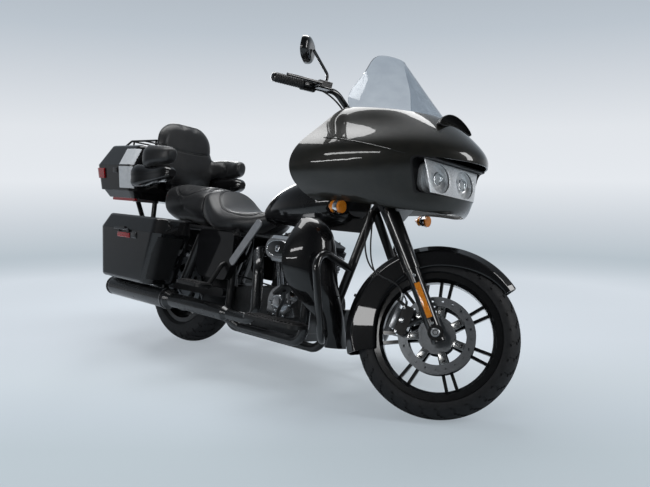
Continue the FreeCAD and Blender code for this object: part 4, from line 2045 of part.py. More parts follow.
def make_lamps():
    front = bullet(FRONT_BULLET, FORWARD)
    stalk = rod(FRONT_BULLET, V(FRONT_BULLET.x, FRONT_BULLET.y - BULLET_LONG, FRONT_BULLET.z + BULLET_LONG), LAMP_STALK)
    front = joined([front, stalk]).cut(fairing_hull())
    front = max(front.Solids, key=lambda solid: solid.Volume)
    rear = bullet(REAR_BULLET, FORWARD * -1)
    rear = joined([rear, rod(REAR_BULLET, V(REAR_BULLET.x, REAR_BULLET.y, SEAT_RAIL_Z - SEAT_TUBE - SEAT_GAP), LAMP_STALK)])
    keep("turn_lamps", together([front, mirrored(front), rear, mirrored(rear)]))


def build():
    make_front_wheel()
    make_rear_wheel()
    make_belt()
    make_fork()
    make_front_fender()
    make_handlebar()
    make_hand_controls()
    make_fairing()
    make_windshield()
    make_dash()
    make_frame()
    make_swingarm()
    make_engine()
    make_air_cleaner()
    keep("exhaust", joined([exhaust_pipes(), muffler(-1), muffler(1)]))
    make_tank()
    make_console()
    make_seats()
    make_rear_fender()
    make_top_case()
    make_rear_lamps()
    make_rack()
    make_backrest()
    make_panniers()
    make_leg_shields()
    make_engine_guard()
    make_oil_cooler()
    make_side_covers()
    make_foot_controls(make_boards())
    make_lamps()


def tyre_floor(axle, direction, radius, crown):
    """Lowest height of a tyre whose tread is an arc across its width."""
    ring = radius - crown
    return axle.z - ring * math.sqrt(1 - direction.z ** 2) - crown


def settled():
    """Placements of the chassis and of the turned fork with both tyres on the road."""
    turn = FreeCAD.Placement(V(0, 0, 0), FreeCAD.Rotation(AXIS_UP, STEER_LOCK), AXIS_FOOT)
    lean = FreeCAD.Placement(V(0, 0, 0), FreeCAD.Rotation(FORWARD, -LEAN))
    low = -LEAN
    high = LEAN
    for attempt in range(40):
        pitch = (low + high) * MIDDLE
        nod = FreeCAD.Placement(V(0, 0, 0), FreeCAD.Rotation(LEFT, pitch))
        fixed = nod.multiply(lean)
        steered = fixed.multiply(turn)
        front = tyre_floor(steered.multVec(FRONT_AXLE), steered.Rotation.multVec(LEFT), FRONT_RADIUS, FRONT_CROWN)
        rear = tyre_floor(fixed.multVec(REAR_AXLE), fixed.Rotation.multVec(LEFT), REAR_RADIUS, REAR_CROWN)
        if front > rear:
            low = pitch
        else:
            high = pitch
    drop = FreeCAD.Placement(V(0, 0, -rear), FreeCAD.Rotation())
    return drop.multiply(fixed), drop.multiply(steered)


def placed(shape, placement):
    moved = shape.copy()
    moved.Placement = placement.multiply(moved.Placement)
    return moved


STEERED_GROUPS = ("fork", "front_wheel")


def outer_box(shapes):
    box = FreeCAD.BoundBox()
    for shape in shapes:
        points, facets = shape.tessellate(1)
        for point in points:
            box.add(point)
    return box


build()
FIXED, STEERED = settled()
make_side_stand(FIXED)
standing = {}
for name, shape in pieces.items():
    standing[name] = placed(shape, STEERED if groups[name] in STEERED_GROUPS else FIXED)
box = outer_box(standing.values())
CENTRING = FreeCAD.Placement(V(-box.Center.x, -box.Center.y, 0), FreeCAD.Rotation())
os.makedirs("parts", exist_ok=True)
for name, shape in standing.items():
    placed(shape, CENTRING).exportStep("parts/" + name + ".step")
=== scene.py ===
"""Looks of a touring cruiser motorcycle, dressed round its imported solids: paint, leather, rubber, lamps and trim."""
from math import atan2, cos, exp, pi, radians, sin

import bmesh
import bpy
from mathutils import Euler, Matrix, Vector
from mathutils.bvhtree import BVHTree
from mathutils.kdtree import KDTree


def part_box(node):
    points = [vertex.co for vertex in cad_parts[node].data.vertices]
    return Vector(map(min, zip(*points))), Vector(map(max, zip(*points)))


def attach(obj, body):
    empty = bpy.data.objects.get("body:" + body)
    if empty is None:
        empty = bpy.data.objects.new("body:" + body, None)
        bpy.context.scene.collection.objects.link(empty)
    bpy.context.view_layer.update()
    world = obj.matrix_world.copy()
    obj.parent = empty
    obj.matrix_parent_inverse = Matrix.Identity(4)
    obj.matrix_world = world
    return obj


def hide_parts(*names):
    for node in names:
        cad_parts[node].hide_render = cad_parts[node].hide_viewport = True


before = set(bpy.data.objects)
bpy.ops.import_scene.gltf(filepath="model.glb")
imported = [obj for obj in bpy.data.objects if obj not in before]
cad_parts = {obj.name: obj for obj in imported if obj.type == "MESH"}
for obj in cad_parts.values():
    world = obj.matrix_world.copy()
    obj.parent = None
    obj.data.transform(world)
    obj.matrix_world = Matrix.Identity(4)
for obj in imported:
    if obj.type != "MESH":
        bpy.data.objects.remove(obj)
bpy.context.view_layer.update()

MM = 0.001
SIDES = (-1, 1)
ASIDE = 600              # millimetres out from the middle, clear of the whole machine
HANDS = ((1, "left"), (-1, "right"))
UPWARD = 0.9             # least upward share of a top face's normal
CREASED = 35.0           # angle in degrees above which an edge stays sharp, on cornered pieces
ROUND = 60.0             # the same on round pieces

# The upright machine's frame, rear contact patch at its origin, and how it leans and steers in the row
LEAN = radians(-9.0)
PITCH = radians(0.557645)
LOCK = radians(31.0)
PARKED_AT = Vector((-0.613874, -0.084609, 0.001431))
STEER_FOOT = Vector((1.798, 0.0, 0.0))
STEER_AXIS = Vector((-0.4383711, 0.0, 0.8987940))
parked = Matrix.Translation(PARKED_AT) @ Euler((LEAN, PITCH, 0.0)).to_matrix().to_4x4()
steered = (parked @ Matrix.Translation(STEER_FOOT) @ Matrix.Rotation(LOCK, 4, STEER_AXIS)
           @ Matrix.Translation(-STEER_FOOT))
PLACES = {"fork": steered, "front_wheel": steered}


# Camera at the photograph's viewing angle
EYE_AT = (2.4044, -2.1905, 0.9666)
EYE_TILT = radians(83.42)
EYE_TURN = radians(42.90)
LENS = 36.0
SENSOR = 36.0
camera = bpy.data.cameras.new("camera")
camera.lens = LENS
camera.sensor_width = SENSOR
eye = bpy.data.objects.new("camera", camera)
eye.location = EYE_AT
eye.rotation_euler = (EYE_TILT, 0.0, EYE_TURN)
bpy.context.scene.collection.objects.link(eye)
bpy.context.scene.camera = eye


# Materials
SMUDGE_SIZE = 45.0


def linear(text):
    """An sRGB hex value as the linear colour that a shader takes."""
    found = []
    for k in (0, 2, 4):
        c = int(text[k:k + 2], 16) / 255.0
        found.append(c / 12.92 if c <= 0.04045 else ((c + 0.055) / 1.055) ** 2.4)
    return (*found, 1.0)


def add(tree, kind, **values):
    """Adds one node; a name that is an input is filled or linked, and any other is the node's own setting."""
    node = tree.nodes.new("ShaderNode" + kind)
    plain = {key: value for key, value in values.items() if hasattr(node, key)}
    for key, value in plain.items():
        setattr(node, key, value)
    for key, value in values.items():
        if key in plain:
            continue
        number = int(key[1:]) if key[0] == "i" and key[1:].isdigit() else None
        socket = node.inputs[number] if number is not None else node.inputs[key.replace("_", " ")]
        if isinstance(value, bpy.types.NodeSocket):
            tree.links.new(value, socket)
        else:
            socket.default_value = value
    return node


def ramp(tree, value, *stops):
    """Colours that follow a value, each given as its place and its hex value."""
    node = add(tree, "ValToRGB", Fac=value)
    points = node.color_ramp.elements
    while len(points) < len(stops):
        points.new(0.5)
    for point, (place, colour) in zip(points, stops):
        point.position = place
        point.color = linear(colour)
    return node.outputs["Color"]


def surface(name, colour, roughness=0.5, mottle=None, grain=None, smudge=0.0, **shader):
    """A material whose colour is mottled, whose gloss is smudged and whose face carries a fine grain.

    mottle is (second colour, patch size in mm), and grain is (grain size in mm, its height in mm), with "cells"
    after them where the grain is pebbled.
    """
    made = bpy.data.materials.new(name)
    made.use_nodes = True
    tree = made.node_tree
    body = tree.nodes["Principled BSDF"]
    body.inputs["Base Color"].default_value = linear(colour)
    body.inputs["Roughness"].default_value = roughness
    for key, value in shader.items():
        body.inputs[key.replace("_", " ")].default_value = value
    place = add(tree, "TexCoord").outputs["Object"]
    if mottle:
        patches = add(tree, "TexNoise", Vector=place, Scale=1.0 / (mottle[1] * MM), Detail=4.0)
        shade = ramp(tree, patches.outputs["Fac"], (0.35, colour), (0.65, mottle[0]))
        tree.links.new(shade, body.inputs["Base Color"])
    if smudge:
        marks = add(tree, "TexNoise", Vector=place, Scale=1.0 / (SMUDGE_SIZE * MM), Detail=5.0)
        spread = add(tree, "MapRange", Value=marks.outputs["Fac"], To_Min=roughness - smudge,
                     To_Max=roughness + smudge)
        tree.links.new(spread.outputs["Result"], body.inputs["Roughness"])
    if grain:
        size, height, *cells = grain
        if cells:
            relief = add(tree, "TexVoronoi", Vector=place, Scale=1.0 / (size * MM)).outputs["Distance"]
        else:
            relief = add(tree, "TexNoise", Vector=place, Scale=1.0 / (size * MM), Detail=3.0).outputs["Fac"]
        bump = add(tree, "Bump", Height=relief, Strength=1.0, Distance=height * MM)
        tree.links.new(bump.outputs["Normal"], body.inputs["Normal"])
    return made


# Two-pack enamel under lacquer: deep black that mirrors the studio, with the faint ripple of sprayed paint
black_lacquer = surface("black_lacquered_enamel", "070708", 0.4, ("0b0b0d", ROUND), (9.0, 0.006),
                        Coat_Weight=1.0, Coat_Roughness=0.02, Coat_IOR=1.46, Specular_IOR_Level=0.1)
# Moulded ABS fairing in the same black paint, its base colour lifted to an olive grey: painted sheen of the studio
# light
fairing_lacquer_painted_sheen = surface("black_lacquer_on_ABS_painted_olive_sheen", "161613", 0.4, ("1b1a16", 35.0), (10.0, 0.006),
                        Metallic=0.1, Coat_Weight=1.0, Coat_Roughness=0.03, Coat_IOR=1.46, Specular_IOR_Level=0.15)
# Powder-coated steel: satin black with the orange-peel of baked powder
powder_coat = surface("satin_black_powder_coat", "0e0e0f", 0.36, ("141415", 25.0), (1.6, 0.02), 0.06,
                      Coat_Weight=0.2, Coat_Roughness=0.2, Specular_IOR_Level=0.35)
# Gloss black steel tube of guards and bars
gloss_steel = surface("gloss_black_baked_steel", "09090a", 0.3, ("0e0e0f", 30.0), (6.0, 0.008), 0.05,
                      Coat_Weight=1.0, Coat_Roughness=0.05, Specular_IOR_Level=0.2)
# Ceramic-coated exhaust steel: a warmer satin black that spreads its highlights
exhaust_coat = surface("ceramic_coated_exhaust_steel", "17181a", 0.26, ("1e1f20", 30.0), (2.0, 0.01), 0.06,
                       Metallic=0.5, Coat_Weight=0.5, Coat_Roughness=0.1)
# Moulded textured polypropylene of inner panels
black_plastic = surface("moulded_black_polypropylene", "0e0e0f", 0.5, ("131314", 20.0), (1.2, 0.03, "cells"), 0.06,
                        Specular_IOR_Level=0.3)
# Tyre compound: matt, slightly dusty, fine moulding texture
tyre_rubber = surface("vulcanised_tyre_rubber", "121315", 0.62, ("191a1c", 14.0), (0.9, 0.05), 0.08,
                      Specular_IOR_Level=0.3)
grip_rubber = surface("ribbed_grip_rubber", "141415", 0.55, ("1c1c1e", 8.0), (1.5, 0.06, "cells"))
belt_rubber = surface("toothed_belt_rubber", "161617", 0.6, ("202021", 10.0), (1.0, 0.04))
hose_rubber = surface("extruded_hose_rubber", "1a1a1b", 0.45, ("242425", 8.0), (0.8, 0.02))
# Cast aluminium wheel in satin-gloss black enamel
wheel_enamel = surface("black_enamelled_cast_wheel", "090a0b", 0.3, ("0e0f10", 30.0), (1.5, 0.01), 0.06,
                       Coat_Weight=0.6, Coat_Roughness=0.08, Specular_IOR_Level=0.2)
# Ground stainless brake disc: bright, with turning marks that streak the light
disc_steel = surface("ground_stainless_disc", "75787b", 0.34, ("6b6e71", 5.0), (0.8, 0.01), 0.04,
                     Metallic=0.9)
# The disc's lugs, left bright from the lathe
lug_steel = surface("turned_stainless_lug", "c3c4c3", 0.24, ("b2b3b2", 4.0), (0.8, 0.01), 0.05,
                    Metallic=1.0)
# Vacuum-aluminised reflector: a mirror film over moulded steps, so it glows evenly
lamp_reflector = surface("aluminised_lamp_reflector", "eef0f2", 0.3, ("cfd3d6", 7.0), (4.0, 0.05, "cells"), 0.0,
                         Metallic=0.5, Coat_Weight=0.6, Coat_Roughness=0.05)
bright_aluminium = surface("polished_aluminium", "c9cacc", 0.16, ("b4b6b8", 25.0), (3.0, 0.006), 0.07,
                           Metallic=1.0)
cast_aluminium = surface("sand_cast_black_aluminium", "1a1b1c", 0.42, ("242526", 12.0), (1.4, 0.05), 0.08,
                         Metallic=0.35, Coat_Weight=0.2, Coat_Roughness=0.25)
chrome = surface("chrome_plate", "d6d8da", 0.07, ("c8cacc", 30.0), None, 0.03, Metallic=1.0)
grey_metallic = surface("grey_metallic_lacquer", "8e9094", 0.32, ("9a9ca0", 20.0), (1.0, 0.005), 0.04,
                        Metallic=0.6, Coat_Weight=0.6, Coat_Roughness=0.12)
# Sprayed satin grey lacquer over ABS, duller than the deflectors
satin_grey = surface("satin_grey_lacquer", "b2b5b9", 0.42, ("a9adb1", 18.0), (1.0, 0.006), 0.05,
                     Coat_Weight=0.3, Coat_Roughness=0.3)
zinc = surface("zinc_plated_steel", "9fa2a5", 0.3, ("868a8e", 6.0), (1.0, 0.01), 0.08, Metallic=1.0)
# Seat vinyl: soft sheen with a fine pebbled leather grain
seat_vinyl = surface("pebbled_black_seat_vinyl", "121315", 0.4, ("18191b", 40.0), (2.6, 0.1, "cells"), 0.06,
                     Sheen_Weight=0.1, Sheen_Roughness=0.4)
# Acrylic lamp covers and the tinted polycarbonate screen
clear_acrylic = surface("clear_acrylic", "f2f5f6", 0.04, ("e9edef", 40.0), None, 0.0, Transmission_Weight=1.0,
                        IOR=1.49)
smoked_screen = surface("smoked_polycarbonate", "cfd5da", 0.03, ("c6ccd2", ROUND), None, 0.0,
                        Transmission_Weight=1.0, IOR=1.3)
red_acrylic = surface("red_acrylic", "8f0a12", 0.12, ("a81018", 8.0), (6.0, 0.2, "cells"), 0.0,
                      Transmission_Weight=0.35, IOR=1.49, Coat_Weight=1.0, Coat_Roughness=0.03)
amber_acrylic = surface("amber_acrylic", "e07a12", 0.12, ("f09a2c", 6.0), (4.0, 0.2, "cells"), 0.0,
                        Transmission_Weight=0.35, IOR=1.49, Coat_Weight=1.0, Coat_Roughness=0.03)

FINISHES = {
    black_lacquer: "fuel_tank fuel_door front_fender rear_fender top_case top_case_lid pannier_left pannier_right "
                   "pannier_lid_left pannier_lid_right leg_shields side_covers",
    # the fairing's olive-grey lacquer is painted sheen over the same black paint
    fairing_lacquer_painted_sheen: "fairing_shell",
    powder_coat: "frame rear_frame swingarm luggage_rack triple_clamps side_stand foot_controls rider_board_left "
                 "rider_board_right passenger_board_left passenger_board_right oil_cooler",
    gloss_steel: "engine_guard handlebar fork_legs hand_controls",
    exhaust_coat: "exhaust",
    black_plastic: "dash headlamp_bezel",
    tyre_rubber: "front_tyre rear_tyre",
    grip_rubber: "grips",
    belt_rubber: "drive_belt",
    wheel_enamel: "front_rim rear_rim",
    disc_steel: "front_discs rear_disc",
    bright_aluminium: "air_cleaner cam_cover",
    cast_aluminium: "crankcase cylinders rocker_covers primary_cover",
    grey_metallic: "air_deflectors",
    seat_vinyl: "rider_seat passenger_seat backrest",
    lamp_reflector: "headlamp_lenses",
    smoked_screen: "windshield",
    red_acrylic: "rear_lamps",
    amber_acrylic: "turn_lamps",
}
for material, nodes in FINISHES.items():
    for node in nodes.split():
        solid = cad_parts[node]
        solid.data.materials.clear()
        solid.data.materials.append(material)

# The body that a small piece rides on, its slot and its material
CHROMED = ("chassis", "polished_aluminium", chrome)
POLISHED = ("chassis", "polished_aluminium", bright_aluminium)
LAMP_SILVER = ("chassis", "polished_aluminium", lamp_reflector)
BLACK_STEEL = ("chassis", "satin_black_metal", gloss_steel)
DARK_TRIM = ("chassis", "black_plastic", gloss_steel)
FORK_ZINC = ("fork", "polished_aluminium", zinc)
FORK_POLISHED = ("fork", "polished_aluminium", bright_aluminium)
FORK_BLACK = ("fork", "satin_black_metal", gloss_steel)
HOSE = ("fork", "belt_rubber", hose_rubber)


# Making pieces by hand: select, shape, then move the finished mesh to its place
def clear():
    """Leaves edit mode with nothing selected."""
    if bpy.context.object and bpy.context.object.mode != "OBJECT":
        bpy.ops.object.mode_set(mode="OBJECT")
    bpy.ops.object.select_all(action="DESELECT")


def placed(name, data):
    """A new object in the scene that holds a mesh, a curve or a light."""
    made = bpy.data.objects.new(name, data)
    bpy.context.scene.collection.objects.link(made)
    return made


def only(made):
    """Makes one object the selected and active one."""
    clear()
    made.select_set(True)
    bpy.context.view_layer.objects.active = made
    return made


def start(kind, **sizes):
    """A primitive at the origin, opened in edit mode."""
    clear()
    getattr(bpy.ops.mesh, "primitive_%s_add" % kind)(**sizes)
    bpy.ops.object.mode_set(mode="EDIT")
    bpy.context.tool_settings.mesh_select_mode = (False, False, True)
    return bpy.context.object


def pick(test):
    """Selects the faces whose middle and normal pass a test."""
    mesh = bmesh.from_edit_mesh(bpy.context.object.data)
    for part in (mesh.verts, mesh.edges, mesh.faces):
        for piece in part:
            piece.select_set(False)
    for face in mesh.faces:
        if test(face.calc_center_median(), face.normal):
            face.select_set(True)
    bmesh.update_edit_mesh(bpy.context.object.data)


def pick_all():
    """Selects the whole mesh."""
    bpy.ops.mesh.select_all(action="SELECT")


def pick_top():
    """Selects the face that looks along +Z."""
    pick(lambda middle, normal: normal.z > UPWARD)


def step(rim, rise):
    """Steps the picked face in by a rim and along +Z by a rise, in millimetres."""
    bpy.ops.mesh.inset(thickness=rim * MM)
    bpy.ops.transform.translate(value=(0, 0, rise * MM))


def sink(rim, depth):
    """Sinks a flat-bottomed hole into the picked face and leaves a rim."""
    bpy.ops.mesh.inset(thickness=rim * MM)
    bpy.ops.mesh.extrude_region_move(TRANSFORM_OT_translate={"value": (0, 0, -depth * MM)})


def resize(x, y, z):
    """Scales the selected faces about their middle."""
    bpy.ops.transform.resize(value=(x, y, z))


def start_box(x, y, z):
    """A box about the origin, opened in edit mode, its sides in millimetres."""
    made = start("cube", size=1.0)
    resize(x * MM, y * MM, z * MM)
    return made


def modify(made, kind, **settings):
    """Adds a modifier and applies it."""
    only(made)
    name = made.modifiers.new(kind.lower(), kind).name
    for key, value in settings.items():
        setattr(made.modifiers[name], key, value)
    bpy.ops.object.modifier_apply(modifier=name)
    return made


def model_ring(major, minor, around, across, tall=1.0):
    """A ring about the origin, its section stretched along +Z."""
    made = start("torus", major_radius=major * MM, minor_radius=minor * MM, major_segments=around,
                 minor_segments=across)
    resize(1.0, 1.0, tall)
    return only(made)


def model_cup(radius, segments, cut, thickness, stretch=None):
    """A thin shell of a ball, open past the cut's height on the cut's own side of the middle."""
    side = 1 if cut > 0 else -1
    made = start("uv_sphere", segments=segments, ring_count=segments // 2, radius=radius * MM)
    pick(lambda middle, normal: middle.z * side > cut * side * MM)
    bpy.ops.mesh.delete(type="FACE")
    if stretch:
        pick_all()
        resize(*stretch)
    clear()
    return modify(made, "SOLIDIFY", thickness=thickness * MM, offset=side)


def settle(made, name, body, material, place=None, smooth=CREASED):
    """Names a finished piece, moves its mesh into the row frame and lets it ride on its body."""
    only(made)
    bpy.ops.object.transform_apply(location=True, rotation=True, scale=True)
    made.name = name
    made.data.name = name
    if place is not None:
        made.data.transform(place)
    made.data.transform(PLACES.get(body, parked))
    made.data.materials.clear()
    made.data.materials.append(material)
    bpy.ops.object.shade_smooth_by_angle(angle=radians(smooth))
    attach(made, body)
    return made


def facing(point, way):
    """The place of a copy whose own +Z faces a way, at a point in millimetres."""
    stand = Vector(way).to_track_quat("Z", "Y").to_matrix().to_4x4()
    return Matrix.Translation(Vector(point) * MM) @ stand


def drop(model):
    """Takes away a model that has done its work."""
    bpy.data.objects.remove(model, do_unlink=True)


def scatter(model, name, spots, body, slot, material, smooth=CREASED):
    """Copies of one modelled piece at many places, joined into one object; the model itself is taken away."""
    copies = []
    for spot in spots:
        twin = model.copy()
        twin.data = model.data.copy()
        twin.data.transform(spot)
        bpy.context.scene.collection.objects.link(twin)
        copies.append(twin)
    drop(model)
    clear()
    for twin in copies:
        twin.select_set(True)
    bpy.context.view_layer.objects.active = copies[0]
    if len(copies) > 1:
        bpy.ops.object.join()
    return settle(copies[0], name, body, material, smooth=smooth)


def model_bolt(radius, height, sides=12):
    """Button-head bolt with a hexagon socket, its seat at the origin."""
    made = start("cylinder", vertices=sides, radius=radius * MM, depth=height * MM,
                 location=(0, 0, height * MM / 2))
    pick_top()
    step(radius * 0.28, height * 0.25)
    sink(radius * 0.25, height * 0.6)
    only(made)
    bpy.ops.object.transform_apply(location=True, rotation=True, scale=True)
    return made


def tube(name, points, radius, body, slot, material):
    """A hose, wire or moulding along a smooth line through route points in millimetres."""
    clear()
    line = bpy.data.curves.new(name, "CURVE")
    line.dimensions = "3D"
    line.bevel_depth = radius * MM
    line.bevel_resolution = 3
    line.resolution_u = 8
    line.use_fill_caps = True
    run = line.splines.new("NURBS")
    run.points.add(len(points) - 1)
    for point, place in zip(run.points, points):
        point.co = (*(Vector(place) * MM), 1.0)
    run.order_u = 3
    run.use_endpoint_u = True
    made = placed(name, line)
    only(made)
    bpy.ops.object.convert(target="MESH")
    return settle(bpy.context.object, name, body, material)


def mirror_points(points):
    """The route on the machine's other side."""
    return [(x, -y, z) for x, y, z in points]


def surface_hits(node, routes, body="chassis"):
    """Places on a solid's surface where rays from upright points along a way first meet it."""
    tree = BVHTree.FromObject(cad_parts[node], bpy.context.evaluated_depsgraph_get())
    place = PLACES.get(body, parked)
    back = place.inverted()
    spots = []
    for point, way in routes:
        aim = (place.to_3x3() @ Vector(way)).normalized()
        hit, normal, _, _ = tree.ray_cast(place @ (Vector(point) * MM), aim)
        if hit is None:
            continue
        own = back @ hit
        own_normal = back.to_3x3() @ normal
        if own_normal.dot(Vector(way)) > 0:
            own_normal = -own_normal
        spots.append(facing(own / MM, own_normal))
    return spots


def bead(name, node, route, way, radius, slot, material, body="chassis", count=24, out=0.4):
    """A fine moulding that follows a solid's surface, seen along a way from a route in the upright frame."""
    starts = []
    for number in range(count + 1):
        share = number / count * (len(route) - 1)
        k = min(int(share), len(route) - 2)
        starts.append((tuple(Vector(route[k]).lerp(Vector(route[k + 1]), share - k)), way))
    spots = surface_hits(node, starts, body)
    if len(spots) < 3:
        return None
    line = [tuple((spot @ Vector((0, 0, out * MM))) / MM) for spot in spots]
    return tube(name, line, radius, body, slot, material)


# Tyres with cut tread, spun from their section
FRONT_AXLE = Vector((1625.0, 0.0, 319.0))
REAR_AXLE = Vector((0.0, 0.0, 320.0))
TREAD_STEPS = 330
TREAD_PITCH = 11
LANES = 14               # strips of the tread across its width
LONG_GROOVE = 7          # steps that a lengthways groove runs in each pitch
CROSS_GROOVE = 1.5
GROOVE_DEEP = 3.2
TREAD_CREASED = 28.0
BEAD_IN = 22.0           # from the widest point in to the bead
SHOULDER_SHARE = 0.93
WAIST_SHARE = 0.45


def make_tyre(node, name, body, radius, width, crown, rim, axle):
    """The tyre's section spun round the axle, its grooves let in between the blocks."""
    half = width / 2
    bead_y = half - BEAD_IN
    shoulder = half * SHOULDER_SHARE
    middle_r = radius - crown
    shoulder_r = middle_r + (crown ** 2 - shoulder ** 2) ** 0.5
    waist = rim + (shoulder_r - rim) * WAIST_SHARE
    section = []
    for k in range(LANES + 1):
        y = -shoulder + 2 * shoulder * k / LANES
        section.append((y, middle_r + (crown ** 2 - y ** 2) ** 0.5 - 0.4))
    wall = [(shoulder + (half - shoulder) * 0.6, shoulder_r - (shoulder_r - waist) * 0.35),
            (half - 0.4, waist), (half - 1.6, waist - (waist - rim) * 0.32), (bead_y + 10, rim + 14),
            (bead_y + 2, rim + 9.4), (bead_y - 1, rim + 1)]
    section = [(-y, r) for y, r in reversed(wall)] + section + wall
    clear()
    mesh = bpy.data.meshes.new(name)
    mesh.from_pydata([(0, y * MM, r * MM) for y, r in section], [(k, k + 1) for k in range(len(section) - 1)], [])
    made = placed(name, mesh)
    only(made)
    bpy.ops.object.mode_set(mode="EDIT")
    pick_all()
    bpy.ops.mesh.spin(steps=TREAD_STEPS, angle=2 * pi, center=(0, 0, 0), axis=(0, 1, 0), use_auto_merge=True)
    pick_all()
    bpy.ops.mesh.remove_doubles(threshold=0.05 * MM)
    bpy.ops.mesh.normals_make_consistent(inside=False)
    bpy.context.tool_settings.mesh_select_mode = (False, False, True)
    low = shoulder_r - (shoulder_r - waist) * 0.2

    def groove(middle, _):
        """Whether a face of the tread belongs to a groove."""
        y = middle.y / MM
        if (middle.x ** 2 + middle.z ** 2) ** 0.5 / MM < low:
            return False
        slot_number = round(atan2(middle.z, middle.x) / (2 * pi) * TREAD_STEPS - 0.5)
        lane = round(abs(y) / (2 * shoulder / LANES))
        if lane == 0:
            return False
        hand = 0 if y > 0 else TREAD_PITCH // 2
        run = LONG_GROOVE if lane == 2 else CROSS_GROOVE
        return (slot_number + hand + 2 * lane) % TREAD_PITCH < run

    pick(groove)
    bpy.ops.mesh.extrude_region_shrink_fatten(TRANSFORM_OT_shrink_fatten={"value": -GROOVE_DEEP * MM})
    clear()
    settle(made, name, body, tyre_rubber, Matrix.Translation(axle * MM), smooth=TREAD_CREASED)
    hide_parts(node)


make_tyre("front_tyre", "front_tyre_tread", "front_wheel", radius=319.0, width=130.0, crown=68.0, rim=241.0,
          axle=FRONT_AXLE)
make_tyre("rear_tyre", "rear_tyre_tread", "rear_wheel", radius=320.0, width=180.0, crown=115.0, rim=203.0,
          axle=REAR_AXLE)


# Fork: reflectors, caliper plates, axle nuts, disc lugs and bolts
FORK_SLOPE = radians(31.0)
LEG_OUT = 115.0
AXLE_END = 155.5
REFLECTOR_Z = 432
HOUSING = (28, 150, 7)
PRISM = (22, 142, 6)
HOUSING_OUT = 31.0
LUGS = 7                 # on each disc
LUG = (46.0, 27.0, 3.0, 1.2)     # length, width, thickness and softened edge
LUG_SLOT = (6.0, 15.0, 1.0, 0.4)
LUG_REACH = 91.0         # from the axle
SLOT_REACH = 103.0
DISC_BOLT_REACH = 82.0
DISC_OUT = 67.5          # from the wheel's middle to the disc's outer face
CALIPER_OUT = 92.5
PINCH_BOLTS = (352, 520)
PINCH_OUT = 28.5
CALIPER_PLATE = (84.0, 21.0, 4.0, 1.5)
CALIPER_AT = (1459, 350)
CALIPER_BOLT = (1486, 348)
CALIPER_SMALL = ((1470, 299), (1487, 397))
BRACKET_BOLTS = ((1540, 392), (1500, 455))
TURNS = [2 * pi * number / LUGS for number in range(LUGS)]
LEG_UP = Vector((-sin(FORK_SLOPE), 0.0, cos(FORK_SLOPE)))


def on_leg(height, side, out=0.0):
    """A point on a fork leg's line, out sideways from it, in millimetres."""
    rise = height - FRONT_AXLE.z
    return Vector((FRONT_AXLE.x - rise * LEG_UP.x / -LEG_UP.z, side * (LEG_OUT + out), height))


def leg_place(height, side, out):
    """A place on a leg whose own +Z faces outwards and own +Y runs up the leg."""
    way = Vector((0.0, side, 0.0))
    across = LEG_UP.cross(way)
    turn = Matrix((across, LEG_UP, way)).transposed().to_4x4()
    return Matrix.Translation(on_leg(height, side, out) * MM) @ turn


def make_reflectors():
    """Orange prism reflector bars in a slim housing on each lower leg."""
    base = start_box(*HOUSING)
    bpy.ops.mesh.bevel(offset=2.5 * MM, segments=2)
    only(base)
    scatter(base, "reflector_housings", [leg_place(REFLECTOR_Z, s, HOUSING_OUT) for s in SIDES], *FORK_BLACK)
    lens = start_box(*PRISM)
    pick_top()
    step(1.5, 1.2)
    bpy.ops.mesh.bevel(offset=0.6 * MM, segments=1)
    only(lens)
    spots = [leg_place(REFLECTOR_Z, s, HOUSING_OUT + 2.5) for s in SIDES]
    scatter(lens, "reflector_lenses", spots, "fork", "amber_lens", amber_acrylic)


def on_wheel(side, turn, reach, out):
    """A place beside the front disc whose own +Z faces outwards and own +Y points away from the axle."""
    radial = Vector((sin(turn), 0.0, cos(turn)))
    way = Vector((0.0, side, 0.0))
    turned = Matrix((radial.cross(way), radial, way)).transposed().to_4x4()
    return Matrix.Translation((FRONT_AXLE + radial * reach + way * out) * MM) @ turned


def model_plate(long, wide, thick, bend):
    """A flat plate with softened edges, lying at the origin, its length along +Y."""
    plate = start_box(wide, long, thick)
    only(plate)
    bpy.ops.object.transform_apply(location=True, rotation=True, scale=True)
    return modify(plate, "BEVEL", width=bend * MM, segments=2)


def make_disc_lugs():
    """Bright lugs of each disc, each with the slot of its floating button."""
    lug = model_plate(*LUG)
    slot = model_plate(*LUG_SLOT)
    spots = [on_wheel(s, t, LUG_REACH, DISC_OUT - 1.3) for s in SIDES for t in TURNS]
    scatter(lug, "front_disc_lugs", spots, "front_wheel", "polished_aluminium", lug_steel)
    spots = [on_wheel(s, t, SLOT_REACH, DISC_OUT + 0.4) for s in SIDES for t in TURNS]
    scatter(slot, "front_disc_slots", spots, "front_wheel", "satin_black_metal", gloss_steel)


def make_caliper_trim():
    """Grey plate and the bolts on each caliper's outer face."""
    plate = model_plate(*CALIPER_PLATE)
    bolt = model_bolt(11.0, 5.0, 24)
    small = model_bolt(6.0, 5.0, 16)
    along = Vector((14.0, 0.0, 71.0)).normalized()
    plates, bolts, small_ones = [], [], []
    for side in SIDES:
        way = Vector((0.0, side, 0.0))
        turned = Matrix((along.cross(way), along, way)).transposed().to_4x4()
        out = side * CALIPER_OUT
        plates.append(Matrix.Translation(Vector((CALIPER_AT[0], out + side * 1.5, CALIPER_AT[1])) * MM) @ turned)
        bolts.append(facing((CALIPER_BOLT[0], out, CALIPER_BOLT[1]), way))
        small_ones += [facing((x, out, z), way) for x, z in CALIPER_SMALL]
    rays = [((x, s * ASIDE, z), (0, -s, 0)) for s in SIDES for x, z in BRACKET_BOLTS]
    small_ones += surface_hits("fork_legs", rays, "fork")
    scatter(plate, "caliper_plates", plates, *FORK_ZINC)
    scatter(bolt, "caliper_bolts", bolts, *FORK_POLISHED)
    scatter(small, "caliper_small_bolts", small_ones, *FORK_POLISHED)


